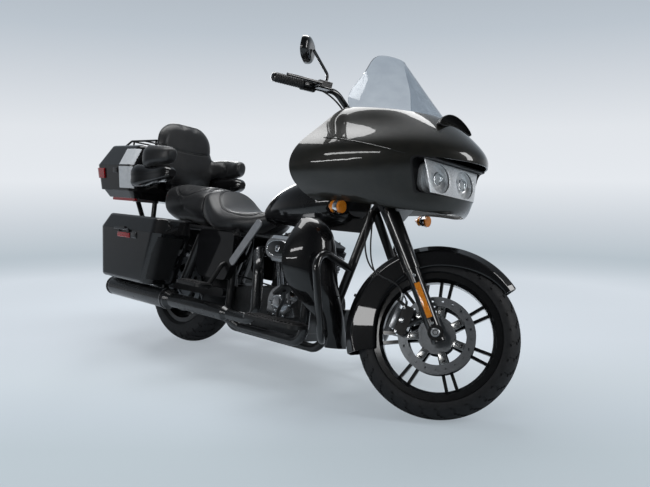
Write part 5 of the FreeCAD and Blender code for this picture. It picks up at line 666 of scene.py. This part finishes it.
def make_front_bolts():
    """Axle nut rings, leg pinch bolts and disc bolts."""
    nut = start("cylinder", vertices=32, radius=17 * MM, depth=7 * MM)
    pick_top()
    step(2, 1.5)
    sink(4.5, 5)
    only(nut)
    spots = [facing((FRONT_AXLE.x, s * AXLE_END, FRONT_AXLE.z), (0, s, 0)) for s in SIDES]
    scatter(nut, "front_axle_nuts", spots, *FORK_ZINC)
    bolt = model_bolt(6.5, 6)
    spots = [facing(on_leg(height, s, PINCH_OUT), (0, s, 0)) for s in SIDES for height in PINCH_BOLTS]
    scatter(bolt, "fork_leg_bolts", spots, *FORK_ZINC)
    small = model_bolt(5.5, 4)
    spots = [on_wheel(s, t, DISC_BOLT_REACH, DISC_OUT) for s in SIDES for t in TURNS]
    scatter(small, "front_disc_bolts", spots, "front_wheel", "polished_aluminium", zinc)


make_reflectors()
make_front_bolts()
make_disc_lugs()
make_caliper_trim()

# Seats and backrest: the solid's own form, remeshed, blown up as foam under vinyl, then seamed
VOXEL = 6.0
PRESSURE = 4.0
FRAMES = 20
LOOSE = 0.01             # corners closer than this are one, in millimetres


def model_pad(node, name, cap, shrink):
    """Foam under vinyl: the solid's form is remeshed, inflated by cloth and held within a cap."""
    clear()
    made = placed(name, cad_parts[node].data.copy())
    only(made)
    bpy.ops.object.mode_set(mode="EDIT")
    pick_all()
    bpy.ops.mesh.remove_doubles(threshold=LOOSE * MM)
    bpy.ops.object.mode_set(mode="OBJECT")
    modify(made, "REMESH", mode="VOXEL", voxel_size=VOXEL * MM)
    modify(made, "DISPLACE", strength=-shrink * MM, mid_level=0.0)
    modify(made, "SMOOTH", factor=0.5, iterations=3)
    before = [v.co.copy() for v in made.data.vertices]
    foam = made.modifiers.new("foam", "CLOTH")
    foam.settings.use_pressure = True
    foam.settings.uniform_pressure_force = PRESSURE
    foam.settings.effector_weights.gravity = 0.0
    foam.settings.quality = 4
    foam.collision_settings.use_collision = False
    scene = bpy.context.scene
    for number in range(1, FRAMES + 1):
        scene.frame_set(number)
    only(made)
    bpy.ops.object.modifier_apply(modifier="foam")
    scene.frame_set(1)
    for vertex, old in zip(made.data.vertices, before):
        moved = vertex.co - old
        if moved.length > cap * MM:
            vertex.co = old + moved.normalized() * cap * MM
    modify(made, "SMOOTH", factor=0.5, iterations=4)
    modify(made, "SUBSURF", levels=1, render_levels=1)
    made.name = name
    made.data.name = name
    made.data.materials.clear()
    made.data.materials.append(seat_vinyl)
    only(made)
    bpy.ops.object.shade_smooth()
    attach(made, "chassis")
    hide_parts(node)
    return made


def seam(pad, name, route, way, count, depth, width, thread):
    """A sewn channel pressed into a pad under a route, with its welt of piping; route and way are upright."""
    tree = BVHTree.FromObject(pad, bpy.context.evaluated_depsgraph_get())
    aim = (parked.to_3x3() @ Vector(way)).normalized()
    hits = []
    closed = route[0] == route[-1]
    for number in range(count + 1):
        share = number / count * (len(route) - 1)
        k = min(int(share), len(route) - 2)
        part = share - k
        a, b = Vector(route[k]), Vector(route[k + 1])
        before = Vector(route[k - 1] if k else (route[-2] if closed else route[0]))
        after = Vector(route[k + 2] if k + 2 < len(route) else (route[1] if closed else route[-1]))
        point = 0.5 * ((2 * a) + (b - before) * part + (2 * before - 5 * a + 4 * b - after) * part ** 2
                       + (3 * a - before - 3 * b + after) * part ** 3)
        origin = parked @ (point * MM)
        found = tree.ray_cast(origin, aim)
        if found[0] is not None:
            hits.append((found[0], found[1]))
    near = KDTree(len(hits))
    for number, (hit, _) in enumerate(hits):
        near.insert(hit, number)
    near.balance()
    sunk = []
    for vertex in pad.data.vertices:
        nearest = near.find(vertex.co)[2] / MM
        if nearest < width * 2:
            sunk.append((vertex, vertex.co - vertex.normal * depth * MM * exp(-(nearest / width * 1.6) ** 2)))
    for vertex, place in sunk:
        vertex.co = place
    back = parked.inverted()
    line = [tuple((back @ (hit - normal * (depth - thread * 0.9) * MM)) / MM) for hit, normal in hits]
    return tube(name, line, thread, "chassis", "seat_vinyl", seat_vinyl)


def oval(x, half_long, half_wide, z, square=2.6, count=28):
    """A closed rounded route in plan about the middle line."""
    route = []
    for number in range(count + 1):
        turn = 2 * pi * number / count
        c, d = cos(turn), sin(turn)
        route.append((x + half_long * abs(c) ** (2 / square) * (1 if c >= 0 else -1),
                      half_wide * abs(d) ** (2 / square) * (1 if d >= 0 else -1), z))
    route[-1] = route[0]
    return route


CHANNEL = (4.0, 10.0)    # depth and width of a sewn channel
PIPING = 2.2
ABOVE = 1100             # height of the routes over the seats
DOWN = (0, 0, -1)
BACKREST_ROUTE = [(200, -196, 1090), (200, -120, 1074), (200, 0, 1068), (200, 120, 1074), (200, 196, 1090)]
rider_pad = model_pad("rider_seat", "rider_seat_cover", cap=9.0, shrink=4.0)
passenger_pad = model_pad("passenger_seat", "passenger_seat_cover", cap=9.0, shrink=4.0)
backrest_pad = model_pad("backrest", "backrest_cover", cap=8.0, shrink=4.0)
seam(rider_pad, "rider_seat_piping", oval(430, 175, 150, ABOVE), DOWN, 120, *CHANNEL, PIPING)
seam(passenger_pad, "passenger_seat_piping", oval(20, 150, 150, ABOVE), DOWN, 110, *CHANNEL, PIPING)
seam(backrest_pad, "backrest_piping", BACKREST_ROUTE, (-1, 0, 0), 60, *CHANNEL, PIPING - 0.2)


# Headlamp: two bowls behind the cover, each with its projector
LAMP_X = 1606.0
LAMP_Y = 92.0
LAMP_Z = 938.0
LAMP_WAY = (1, 0, 0.16)
LAMP_HOLE = (68.5, 56.5)


def make_lamp_bowls():
    """Silvered plate with two oval bowls, and in each a projector in its ring."""
    bowl = model_cup(52, 40, 6, 1.5, (1.35, 1.12, 0.62))
    eye_piece = model_cup(21, 32, -2, 2)
    ring = model_ring(24, 3, 40, 10)
    plate = start_box(358, 124, 5)
    pick(lambda middle, normal: normal.y > 0.9)
    resize(1.1, 1.0, 1.0)
    pick(lambda middle, normal: normal.y < -0.9)
    resize(0.9, 1.0, 1.0)
    clear()
    for side in SIDES:
        hole = start("cylinder", vertices=56, radius=1.0, depth=40 * MM, location=(side * LAMP_Y * MM, 0, 0))
        pick_all()
        resize(LAMP_HOLE[0] * MM, LAMP_HOLE[1] * MM, 1.0)
        clear()
        modify(plate, "BOOLEAN", operation="DIFFERENCE", object=hole)
        drop(hole)
    modify(plate, "BEVEL", width=1.2 * MM, segments=2)
    spots = [facing((LAMP_X, s * LAMP_Y, LAMP_Z), LAMP_WAY) for s in SIDES]
    inner = [facing((LAMP_X - 8, s * LAMP_Y, LAMP_Z), LAMP_WAY) for s in SIDES]
    scatter(plate, "headlamp_face", [facing((LAMP_X + 4, 0, LAMP_Z), LAMP_WAY)], *LAMP_SILVER)
    scatter(bowl, "headlamp_bowls", spots, *LAMP_SILVER, ROUND)
    scatter(eye_piece, "headlamp_projectors", inner, "chassis", "clear_lens", clear_acrylic, ROUND)
    scatter(ring, "headlamp_rings", inner, *CHROMED, ROUND)


make_lamp_bowls()


# Engine side: medallion, cleaner trim, cover bolts, pushrod tubes; mufflers
CAM_X = 876.0
CAM_Z = 342.0
CAM_FACE = -178.0
CAM_BOLTS = 62.0
CLEANER_X = 905.0
CLEANER_Z = 590.0
CLEANER_FACE = -238.5
PUSHRODS = ((908, 992), (890, 962), (858, 768), (840, 738))     # foot and head of each, along the machine
PUSHROD_FOOT = (-96, 425)
PUSHROD_HEAD = (-74, 585)
PUSHROD_RADIUS = 8.0
COLLARS = (0.04, 0.42, 0.96)
MUFFLER_Y = 280.0
MUFFLER_Z = 258.0
MUFFLER_JOINT = 168.0
MUFFLER_END = -371.0


def make_medallion():
    """Turned aluminium cap with a raised rim and a domed middle on the cam cover."""
    cap = start("cylinder", vertices=64, radius=40 * MM, depth=6 * MM)
    pick_top()
    step(3, 2.5)
    sink(3, 3)
    step(9, 1.5)
    step(10, 1.5)
    clear()
    modify(cap, "BEVEL", width=0.6 * MM, segments=2)
    scatter(cap, "cam_medallion", [facing((CAM_X, CAM_FACE, CAM_Z), (0, -1, 0))], *POLISHED)


def make_cover_bolts():
    """Domed bolts on the cam cover, the primary cover, the rocker covers and the air cleaner."""
    bolt = model_bolt(5.0, 4.5)
    spots = []
    spots += surface_hits("cam_cover", [((CAM_X + CAM_BOLTS * cos(a), -400, CAM_Z + CAM_BOLTS * sin(a)), (0, 1, 0))
                                        for a in [k * pi / 3 for k in range(6)]])
    spots += surface_hits("primary_cover", [((x, 500, z), (0, -1, 0)) for x, z in
                                            ((520, 330), (560, 410), (660, 428), (760, 428), (860, 420), (930, 345),
                                             (860, 250), (760, 238), (660, 238), (560, 245))])
    spots += surface_hits("rocker_covers", [((x, y, 900), (0, 0, -1)) for x, y in
                                            ((1000, -60), (1060, -60), (1000, 60), (1060, 60),
                                             (700, -60), (760, -60), (700, 60), (760, 60))])
    spots += surface_hits("air_cleaner", [((CLEANER_X, -400, CLEANER_Z), (0, 1, 0))])
    scatter(bolt, "engine_cover_bolts", spots, *CHROMED)


def make_cleaner_trim():
    """Black oval let into the air cleaner's cover, with a bright rim and a blank boss."""
    inset = start("cylinder", vertices=64, radius=1.0, depth=4 * MM)
    resize(72 * MM, 34 * MM, 1.0)
    pick_top()
    step(2, 1.0)
    only(inset)
    rim = start("torus", major_radius=1.0, minor_radius=0.05, major_segments=72, minor_segments=10)
    resize(74 * MM, 36 * MM, 60 * MM)
    only(rim)
    boss = model_bolt(14.0, 6.0, 40)
    spot = [facing((CLEANER_X, CLEANER_FACE, CLEANER_Z), (0, -1, 0))]
    scatter(inset, "air_cleaner_inset", spot, *DARK_TRIM)
    scatter(rim, "air_cleaner_rim", spot, *CHROMED, ROUND)
    scatter(boss, "air_cleaner_boss", [facing((CLEANER_X, CLEANER_FACE - 2.0, CLEANER_Z), (0, -1, 0))], *POLISHED)


def make_pushrod_tubes():
    """Bright tubes from the cam case up to the rocker boxes, with their collars."""
    collar = model_ring(9.5, 2.4, 28, 8)
    rings = []
    for number, (foot_x, head_x) in enumerate(PUSHRODS):
        low, high = Vector((foot_x, *PUSHROD_FOOT)), Vector((head_x, *PUSHROD_HEAD))
        route = [tuple(low), tuple(low.lerp(high, 0.5)), tuple(high)]
        tube("pushrod_tube_%d" % (number + 1), route, PUSHROD_RADIUS, *CHROMED)
        rings += [facing(low.lerp(high, share), high - low) for share in COLLARS]
    scatter(collar, "pushrod_collars", rings, *CHROMED, ROUND)


def make_muffler_bands():
    """Clamp bands where each muffler takes its pipe, and a rolled edge at its mouth."""
    band = model_ring(51.5, 3.2, 64, 10, 2.6)
    lip = model_ring(49.0, 2.6, 64, 10)
    scatter(band, "muffler_bands", [facing((MUFFLER_JOINT, s * MUFFLER_Y, MUFFLER_Z), (1, 0, 0)) for s in SIDES],
            *BLACK_STEEL, ROUND)
    scatter(lip, "muffler_lips", [facing((MUFFLER_END, s * MUFFLER_Y, MUFFLER_Z), (1, 0, 0)) for s in SIDES],
            *BLACK_STEEL, ROUND)


make_medallion()
make_cover_bolts()
make_cleaner_trim()
make_pushrod_tubes()
make_muffler_bands()


# Luggage: reflectors and latches
PLATE_RIM = 0.12         # share of the plate's shorter side
PLATE_RISE = 0.2         # share of its thickness
PLATE_BEVEL = 0.3        # share of its bend
def plate_on(node, name, point, way, size, body, slot, material, thick, bend):
    """A small bevelled plate of a given size set on a solid where a ray meets it."""
    plate = start_box(size[0], size[1], thick)
    pick_top()
    step(min(size) * PLATE_RIM, thick * PLATE_RISE)
    pick_all()
    bpy.ops.mesh.bevel(offset=bend * PLATE_BEVEL * MM, segments=2)
    only(plate)
    scatter(plate, name, surface_hits(node, [(point, way)], body), body, slot, material)


BAG_REFLECTOR = ((120, 26), (-84, 560))      # size, then place along and up
BAG_LATCH = ((44, 34), (22, 566))
CASE_LATCH = ((46, 30), (-464, 918))
RED_LENS = ("chassis", "red_lens", red_acrylic)
for side, word in HANDS:
    for node, name, (size, (x, z)), finish, thick, bend in (
            ("pannier_" + word, "pannier_reflector_" + word, BAG_REFLECTOR, RED_LENS, 5.0, 2.0),
            ("pannier_" + word, "pannier_latch_" + word, BAG_LATCH, DARK_TRIM, 8.0, 6.0),
            ("top_case", "case_latch_" + word, CASE_LATCH, DARK_TRIM, 8.0, 6.0)):
        plate_on(node, name, (x, side * ASIDE, z), (0, -side, 0), size, *finish, thick, bend)


# Lamps and nose: chrome shells behind the turn lamps, intake hood, crease of the fairing, gauges
INTAKE = (1588.0, 0.0, 1179.0)
MOUTH_WIDE = 116.0
MOUTH_TALL = 25.0
MOUTH_DEEP = 40.0
MOUTH_DROOP = 0.0021     # fall of the mouth's ends with the nose, for each millimetre squared
LIP_OUT = 1.0
CREASE = [(1240, 1052), (1330, 1046), (1420, 1034), (1500, 1020), (1560, 1008)]
GAUGES = (-195, -65, 65, 195)
GAUGE_Z = 1075
FRONT_LAMP = (1292, 306, 790)
REAR_LAMP = (-374, 140, 560)


def make_lamp_shells():
    """Chrome cup behind each turn lamp's amber cover."""
    cup = model_cup(26.4, 36, 4, 1.2, (1.0, 1.0, 1.5))
    spots = [facing((x, s * y, z), (way, 0, 0)) for way, (x, y, z) in ((1, FRONT_LAMP), (-1, REAR_LAMP))
             for s in SIDES]
    scatter(cup, "turn_lamp_shells", spots, *CHROMED, ROUND)


def make_intake():
    """Hooded mouth at the foot of the screen: a dark bowl under a thin gloss lip."""
    hood = start("uv_sphere", segments=64, ring_count=32, radius=1.0)
    resize(MOUTH_WIDE * MM, MOUTH_TALL * MM, MOUTH_DEEP * MM)
    pick(lambda middle, normal: middle.z > 0.05 * MOUTH_DEEP * MM)
    bpy.ops.mesh.delete(type="FACE")
    clear()
    modify(hood, "SOLIDIFY", thickness=2.5 * MM, offset=1.0)
    lip = start("torus", major_radius=1.0, minor_radius=0.024, major_segments=96, minor_segments=10)
    resize((MOUTH_WIDE + LIP_OUT) * MM, (MOUTH_TALL + LIP_OUT) * MM, 70 * MM)
    only(lip)
    for piece in (hood, lip):
        for vertex in piece.data.vertices:
            vertex.co.y -= MOUTH_DROOP / MM * vertex.co.x ** 2
    spot = [facing(INTAKE, (1, 0, 0.3))]
    scatter(hood, "intake_hood", spot, "chassis", "black_plastic", black_plastic, ROUND)
    scatter(lip, "intake_lip", spot, *DARK_TRIM, ROUND)


def make_gauges():
    """Four instruments facing the rider, each a dark glass in a bright ring."""
    ring = model_ring(37, 3.2, 56, 10)
    glass = start("cylinder", vertices=56, radius=36 * MM, depth=3 * MM)
    pick_top()
    step(3, -1.0)
    only(glass)
    spots = surface_hits("dash", [((1000, y, GAUGE_Z), (1, 0, 0)) for y in GAUGES])
    scatter(ring, "gauge_rings", spots, *CHROMED, ROUND)
    scatter(glass, "gauge_glasses", spots, *DARK_TRIM)


make_lamp_shells()
make_intake()
make_gauges()
# the crease beads take the fairing's lacquer, with its painted olive sheen
for side, word in HANDS:
    bead("fairing_crease_" + word, "fairing_shell", [(x, side * ASIDE, z) for x, z in CREASE], (0, -side, 0), 1.8,
         "gloss_black_paint", fairing_lacquer_painted_sheen)


# Handlebar: grip ribs, mirror glass, brake hoses and cables
GRIP_END = Vector((866.0, 450.0, 1132.0))
BAR_ALONG = (GRIP_END - Vector((1050.0, 222.0, 1205.0))).normalized()
GRIP_RIBS = 11
RIB_PITCH = 10.4
FIRST_RIB = 9.0
MIRROR_Y = 420
MIRROR_Z = 1276
HOSE_RADIUS = 3.4
CABLE_RADIUS = 3.6
FITTING_RADIUS = 5.4
HOSE_ROUTE = [(1470, -92, 436), (1463, -92, 462), (1430, -98, 487), (1372, -100, 500), (1318, -92, 530),
              (1284, -84, 590), (1268, -74, 660), (1262, -62, 722), (1258, -44, 770)]
CABLE_ROUTE = [(958, -366, 1172), (985, -330, 1168), (1030, -262, 1176), (1075, -190, 1160), (1120, -130, 1105),
               (1155, -72, 1052), (1180, -40, 1010)]


def sided(vector, side):
    """The same place on the left for side 1 and on the right for side -1."""
    return Vector((vector.x, side * vector.y, vector.z))


def make_grip_ribs():
    """Moulded rings along each grip, and a domed cap on its end."""
    ring = model_ring(17.6, 1.7, 36, 8, 1.5)
    cap = model_cup(18.2, 28, -1, 1.5, (1.0, 1.0, 0.42))
    rings, caps = [], []
    for side in (1, -1):
        way = sided(BAR_ALONG, side)
        for number in range(GRIP_RIBS):
            rings.append(facing(sided(GRIP_END - BAR_ALONG * (FIRST_RIB + RIB_PITCH * number), side), way))
        caps.append(facing(sided(GRIP_END, side), way))
    scatter(ring, "grip_rings", rings, "fork", "grip_rubber", grip_rubber, ROUND)
    scatter(cap, "bar_end_caps", caps, *FORK_BLACK, ROUND)


def make_mirror_glass():
    """Silvered glass let into the rider's side of each mirror."""
    glass = start("cylinder", vertices=48, radius=1.0, depth=2.0 * MM)
    resize(57 * MM, 38 * MM, 1.0)
    pick_top()
    step(1.5, 0.6)
    only(glass)
    spots = surface_hits("hand_controls", [((700, s * MIRROR_Y, MIRROR_Z), (1, 0, 0)) for s in (1, -1)], "fork")
    scatter(glass, "mirror_glass", spots, "fork", "polished_aluminium", chrome)


def make_hoses():
    """Brake hoses with their fittings on the calipers, and the cables that run down from the bar."""
    for side, word in reversed(HANDS):
        route = HOSE_ROUTE if side < 0 else mirror_points(HOSE_ROUTE)
        tube("brake_hose_" + word, route, HOSE_RADIUS, *HOSE)
        end = Vector(route[0])
        tube("hose_fitting_" + word, [tuple(end + Vector((-2, 0, -14))), tuple(end), tuple(end + Vector((-3, 0, 14)))],
             FITTING_RADIUS, *FORK_ZINC)
        route = CABLE_ROUTE if side < 0 else mirror_points(CABLE_ROUTE)
        tube("bar_cable_" + word, route, CABLE_RADIUS, *HOSE)


make_grip_ribs()
make_mirror_glass()
make_hoses()


# Footboards: ribbed rubber pads bedded on the plates
BOARD_PADS = (("rider", 286.0, 84.0, 13), ("passenger", 168.0, 66.0, 8))
PAD_THICK = 4.0
RIB_TALL = 5.0
RIB_LONG_SHARE = 0.42    # of the ribs' pitch
RIB_WIDE_SHARE = 0.86    # of the pad's width
RIB_LIFT = 3.0


def make_board_pads():
    """On each board, a pad along its length with ribs across it."""
    for _, word in HANDS:
        for kind, long, wide, count in BOARD_PADS:
            node = "%s_board_%s" % (kind, word)
            low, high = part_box(node)
            middle = parked.inverted() @ ((low + high) / 2)
            base = start_box(wide, long, PAD_THICK)
            pick(lambda at, normal: abs(normal.z) < 0.1)
            bpy.ops.mesh.bevel(offset=1.2 * MM, segments=2)
            clear()
            rib = start_box(wide * RIB_WIDE_SHARE, long / count * RIB_LONG_SHARE, RIB_TALL)
            pick_top()
            step(1.0, 1.2)
            clear()
            spots = surface_hits(node, [((middle.x / MM, middle.y / MM, middle.z / MM + 200), (0, 0, -1))], node)
            seat = Matrix.Translation(spots[0].translation) @ Matrix.Rotation(pi / 2, 4, "Z")
            ribs = [seat @ Matrix.Translation((0, long * MM * ((k + 0.5) / count - 0.5), RIB_LIFT * MM))
                    for k in range(count)]
            scatter(base, node + "_pad", [seat], node, "grip_rubber", grip_rubber)
            scatter(rib, node + "_ribs", ribs, node, "grip_rubber", grip_rubber)


make_board_pads()


# Skins: panels of another finish that lie flush on a moulding
SKIN = 1.4
CASE_PANEL = (-425, -296)
LID_PANEL = (950, 1046)
TUB_PANEL = (818, 940)
BAG_PANEL_Y = (262, 404)
BAG_PANEL_Z = (350, 572)


def between(axis, low, high):
    """The two cuts that keep what lies between two places along an axis."""
    way = Vector([float(number == axis) for number in range(3)])
    return [(way * high, way), (way * low, -way)]


def cut_skin(node, name, cuts, test, material, body="chassis"):
    """A thin panel on the faces of a solid inside the cuts: each cut is a plane's point and its way, upright."""
    clear()
    back = PLACES.get(body, parked).inverted()
    made = placed(name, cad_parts[node].data.copy())
    made.data.transform(back)
    only(made)
    bpy.ops.object.mode_set(mode="EDIT")
    bpy.context.tool_settings.mesh_select_mode = (False, False, True)
    pick_all()
    bpy.ops.mesh.remove_doubles(threshold=LOOSE * MM)
    for point, way in cuts:
        pick_all()
        bpy.ops.mesh.bisect(plane_co=Vector(point) * MM, plane_no=way, clear_outer=True)
    pick(lambda middle, normal: not test(middle / MM, normal))
    bpy.ops.mesh.delete(type="FACE")
    bpy.ops.object.mode_set(mode="OBJECT")
    modify(made, "SOLIDIFY", thickness=SKIN * MM, offset=1.0)
    return settle(made, name, body, material)


def make_panels():
    """Satin grey panels on the top case, and grained black ones on the bags' front faces."""
    across = between(0, *CASE_PANEL)
    for side, word in HANDS:
        def outside(middle, normal, side=side):
            """Whether a face lies on the case's flank on this side."""
            return normal.y * side > 0.6 and middle.y * side > 200

        lid = across + between(2, *LID_PANEL)
        tub = across + between(2, *TUB_PANEL)
        cut_skin("top_case_lid", "lid_panel_" + word, lid, outside, satin_grey, "top_case_lid")
        cut_skin("top_case", "case_panel_" + word, tub, outside, satin_grey)
        front = between(2, *BAG_PANEL_Z) + between(1, *sorted(side * y for y in BAG_PANEL_Y))
        cut_skin("pannier_" + word, "bag_front_panel_" + word, front,
                 lambda middle, normal: normal.x > 0.6 and middle.x > 60, black_plastic)


make_panels()


# Studio: a pale round floor that fades at its edge, and a sky with the same fade
FLOOR_RADIUS = 5.2
FLOOR_FADE = (3.3, 5.1)  # metres from the middle where the floor starts to fade and is gone
BACKDROP_WAY = (-0.68, 0.73, 0.0)
FILL = 0.38              # strength of the sky's light on matt faces


def make_studio():
    """The floor with its gradient and fading edge, and the sky as the camera, a gloss and a matt face see it."""
    bpy.ops.object.select_all(action="DESELECT")
    bpy.ops.mesh.primitive_circle_add(vertices=96, radius=FLOOR_RADIUS, fill_type="TRIFAN", location=(0, 0, 0))
    floor = bpy.context.object
    floor.name = "studio_floor"
    paint = bpy.data.materials.new("pale_studio_floor")
    paint.use_nodes = True
    tree = paint.node_tree
    place = add(tree, "TexCoord").outputs["Object"]
    depth = add(tree, "VectorMath", operation="DOT_PRODUCT", i0=place, i1=BACKDROP_WAY).outputs["Value"]
    share = add(tree, "MapRange", Value=depth, From_Min=-1.2, From_Max=4.4)
    shade = ramp(tree, share.outputs["Result"], (0.02, "bac5cc"), (0.07, "c0cad2"), (0.155, "c9d2d9"),
                 (0.28, "d2dae2"), (0.42, "d5dde5"), (0.64, "d3dbe3"), (0.79, "c6cfd7"), (1.0, "b9c3cb"))
    body = tree.nodes["Principled BSDF"]
    tree.links.new(shade, body.inputs["Base Color"])
    body.inputs["Roughness"].default_value = 0.75
    body.inputs["Specular IOR Level"].default_value = 0.2
    reach = add(tree, "VectorMath", operation="LENGTH", i0=place).outputs["Value"]
    even = add(tree, "MapRange", Value=reach, From_Min=1.0, From_Max=3.2, To_Min=0.5, To_Max=1.0)
    seen = add(tree, "LightPath").outputs["Is Camera Ray"]
    plain = add(tree, "Math", operation="MULTIPLY", i0=even.outputs["Result"], i1=seen)
    glow = add(tree, "Emission", Color=shade, Strength=1.0)
    lit = add(tree, "MixShader", i0=plain.outputs[0], i1=body.outputs[0], i2=glow.outputs[0])
    edge = add(tree, "MapRange", Value=reach, From_Min=FLOOR_FADE[0], From_Max=FLOOR_FADE[1])
    gone = add(tree, "BsdfTransparent")
    whole = add(tree, "MixShader", i0=edge.outputs["Result"], i1=lit.outputs[0], i2=gone.outputs[0])
    tree.links.new(whole.outputs[0], tree.nodes["Material Output"].inputs["Surface"])
    floor.data.materials.append(paint)

    world = bpy.data.worlds.new("studio")
    world.use_nodes = True
    bpy.context.scene.world = world
    tree = world.node_tree
    tree.nodes.clear()
    way = add(tree, "TexCoord").outputs["Generated"]
    height = add(tree, "SeparateXYZ", Vector=way).outputs["Z"]
    share = add(tree, "MapRange", Value=height, From_Min=-0.2, From_Max=0.3)
    shade = ramp(tree, share.outputs["Result"], (0.15, "b8c3cb"), (0.245, "ccd3da"), (0.366, "e5e9ee"),
                 (0.516, "e1e5ea"), (0.668, "ced4db"), (0.79, "bcc5ce"), (1.0, "a9b2bb"))
    aside = add(tree, "VectorMath", operation="DOT_PRODUCT", i0=way, i1=BACKDROP_WAY).outputs["Value"]
    lit_share = add(tree, "MapRange", Value=aside, From_Min=-0.2, From_Max=0.8, To_Min=0.1, To_Max=0.9)
    path = add(tree, "LightPath")
    seen = add(tree, "Background", Color=shade, Strength=1.0)
    mirrored = add(tree, "Background", Color=shade, Strength=lit_share.outputs["Result"])
    lit = add(tree, "Background", Color=linear("eef2f6"), Strength=FILL)
    gloss = add(tree, "MixShader", i0=path.outputs["Is Glossy Ray"], i1=lit.outputs[0], i2=mirrored.outputs[0])
    plain = add(tree, "Math", operation="MAXIMUM", i0=path.outputs["Is Camera Ray"],
                i1=path.outputs["Is Transmission Ray"])
    mixed = add(tree, "MixShader", i0=plain.outputs[0], i1=gloss.outputs[0], i2=seen.outputs[0])
    add(tree, "OutputWorld", Surface=mixed.outputs[0])


def make_light(name, place, target, width, depth, power):
    """A white soft box that faces a target, its sizes in metres and its power in watts."""
    light = bpy.data.lights.new(name, "AREA")
    light.shape = "RECTANGLE"
    light.size = width
    light.size_y = depth
    light.energy = power
    lamp = placed(name, light)
    lamp.location = place
    lamp.rotation_euler = (Vector(target) - Vector(place)).to_track_quat("-Z", "Y").to_euler()


make_studio()
# Each light: its place, its target, its width, its depth and its power
LIGHTS = {
    "overhead_box": ((-0.4, 0.2, 3.2), (0.0, 0.0, 0.6), 3.4, 1.2, 85.0),
    "side_strip": ((0.8, -3.4, 1.9), (0.2, 0.0, 0.6), 2.6, 0.3, 26.0),
    "low_strip": ((0.2, -3.3, 0.95), (0.3, 0.0, 0.7), 2.2, 0.08, 9.0),
    "front_strip": ((3.4, 0.9, 1.8), (0.6, 0.0, 0.7), 0.6, 1.8, 35.0),
    "rear_strip": ((-2.8, 1.6, 2.0), (-0.3, 0.0, 0.8), 0.7, 2.0, 35.0),
}
for name, values in LIGHTS.items():
    make_light(name, *values)
bpy.context.scene.view_settings.view_transform = "Standard"
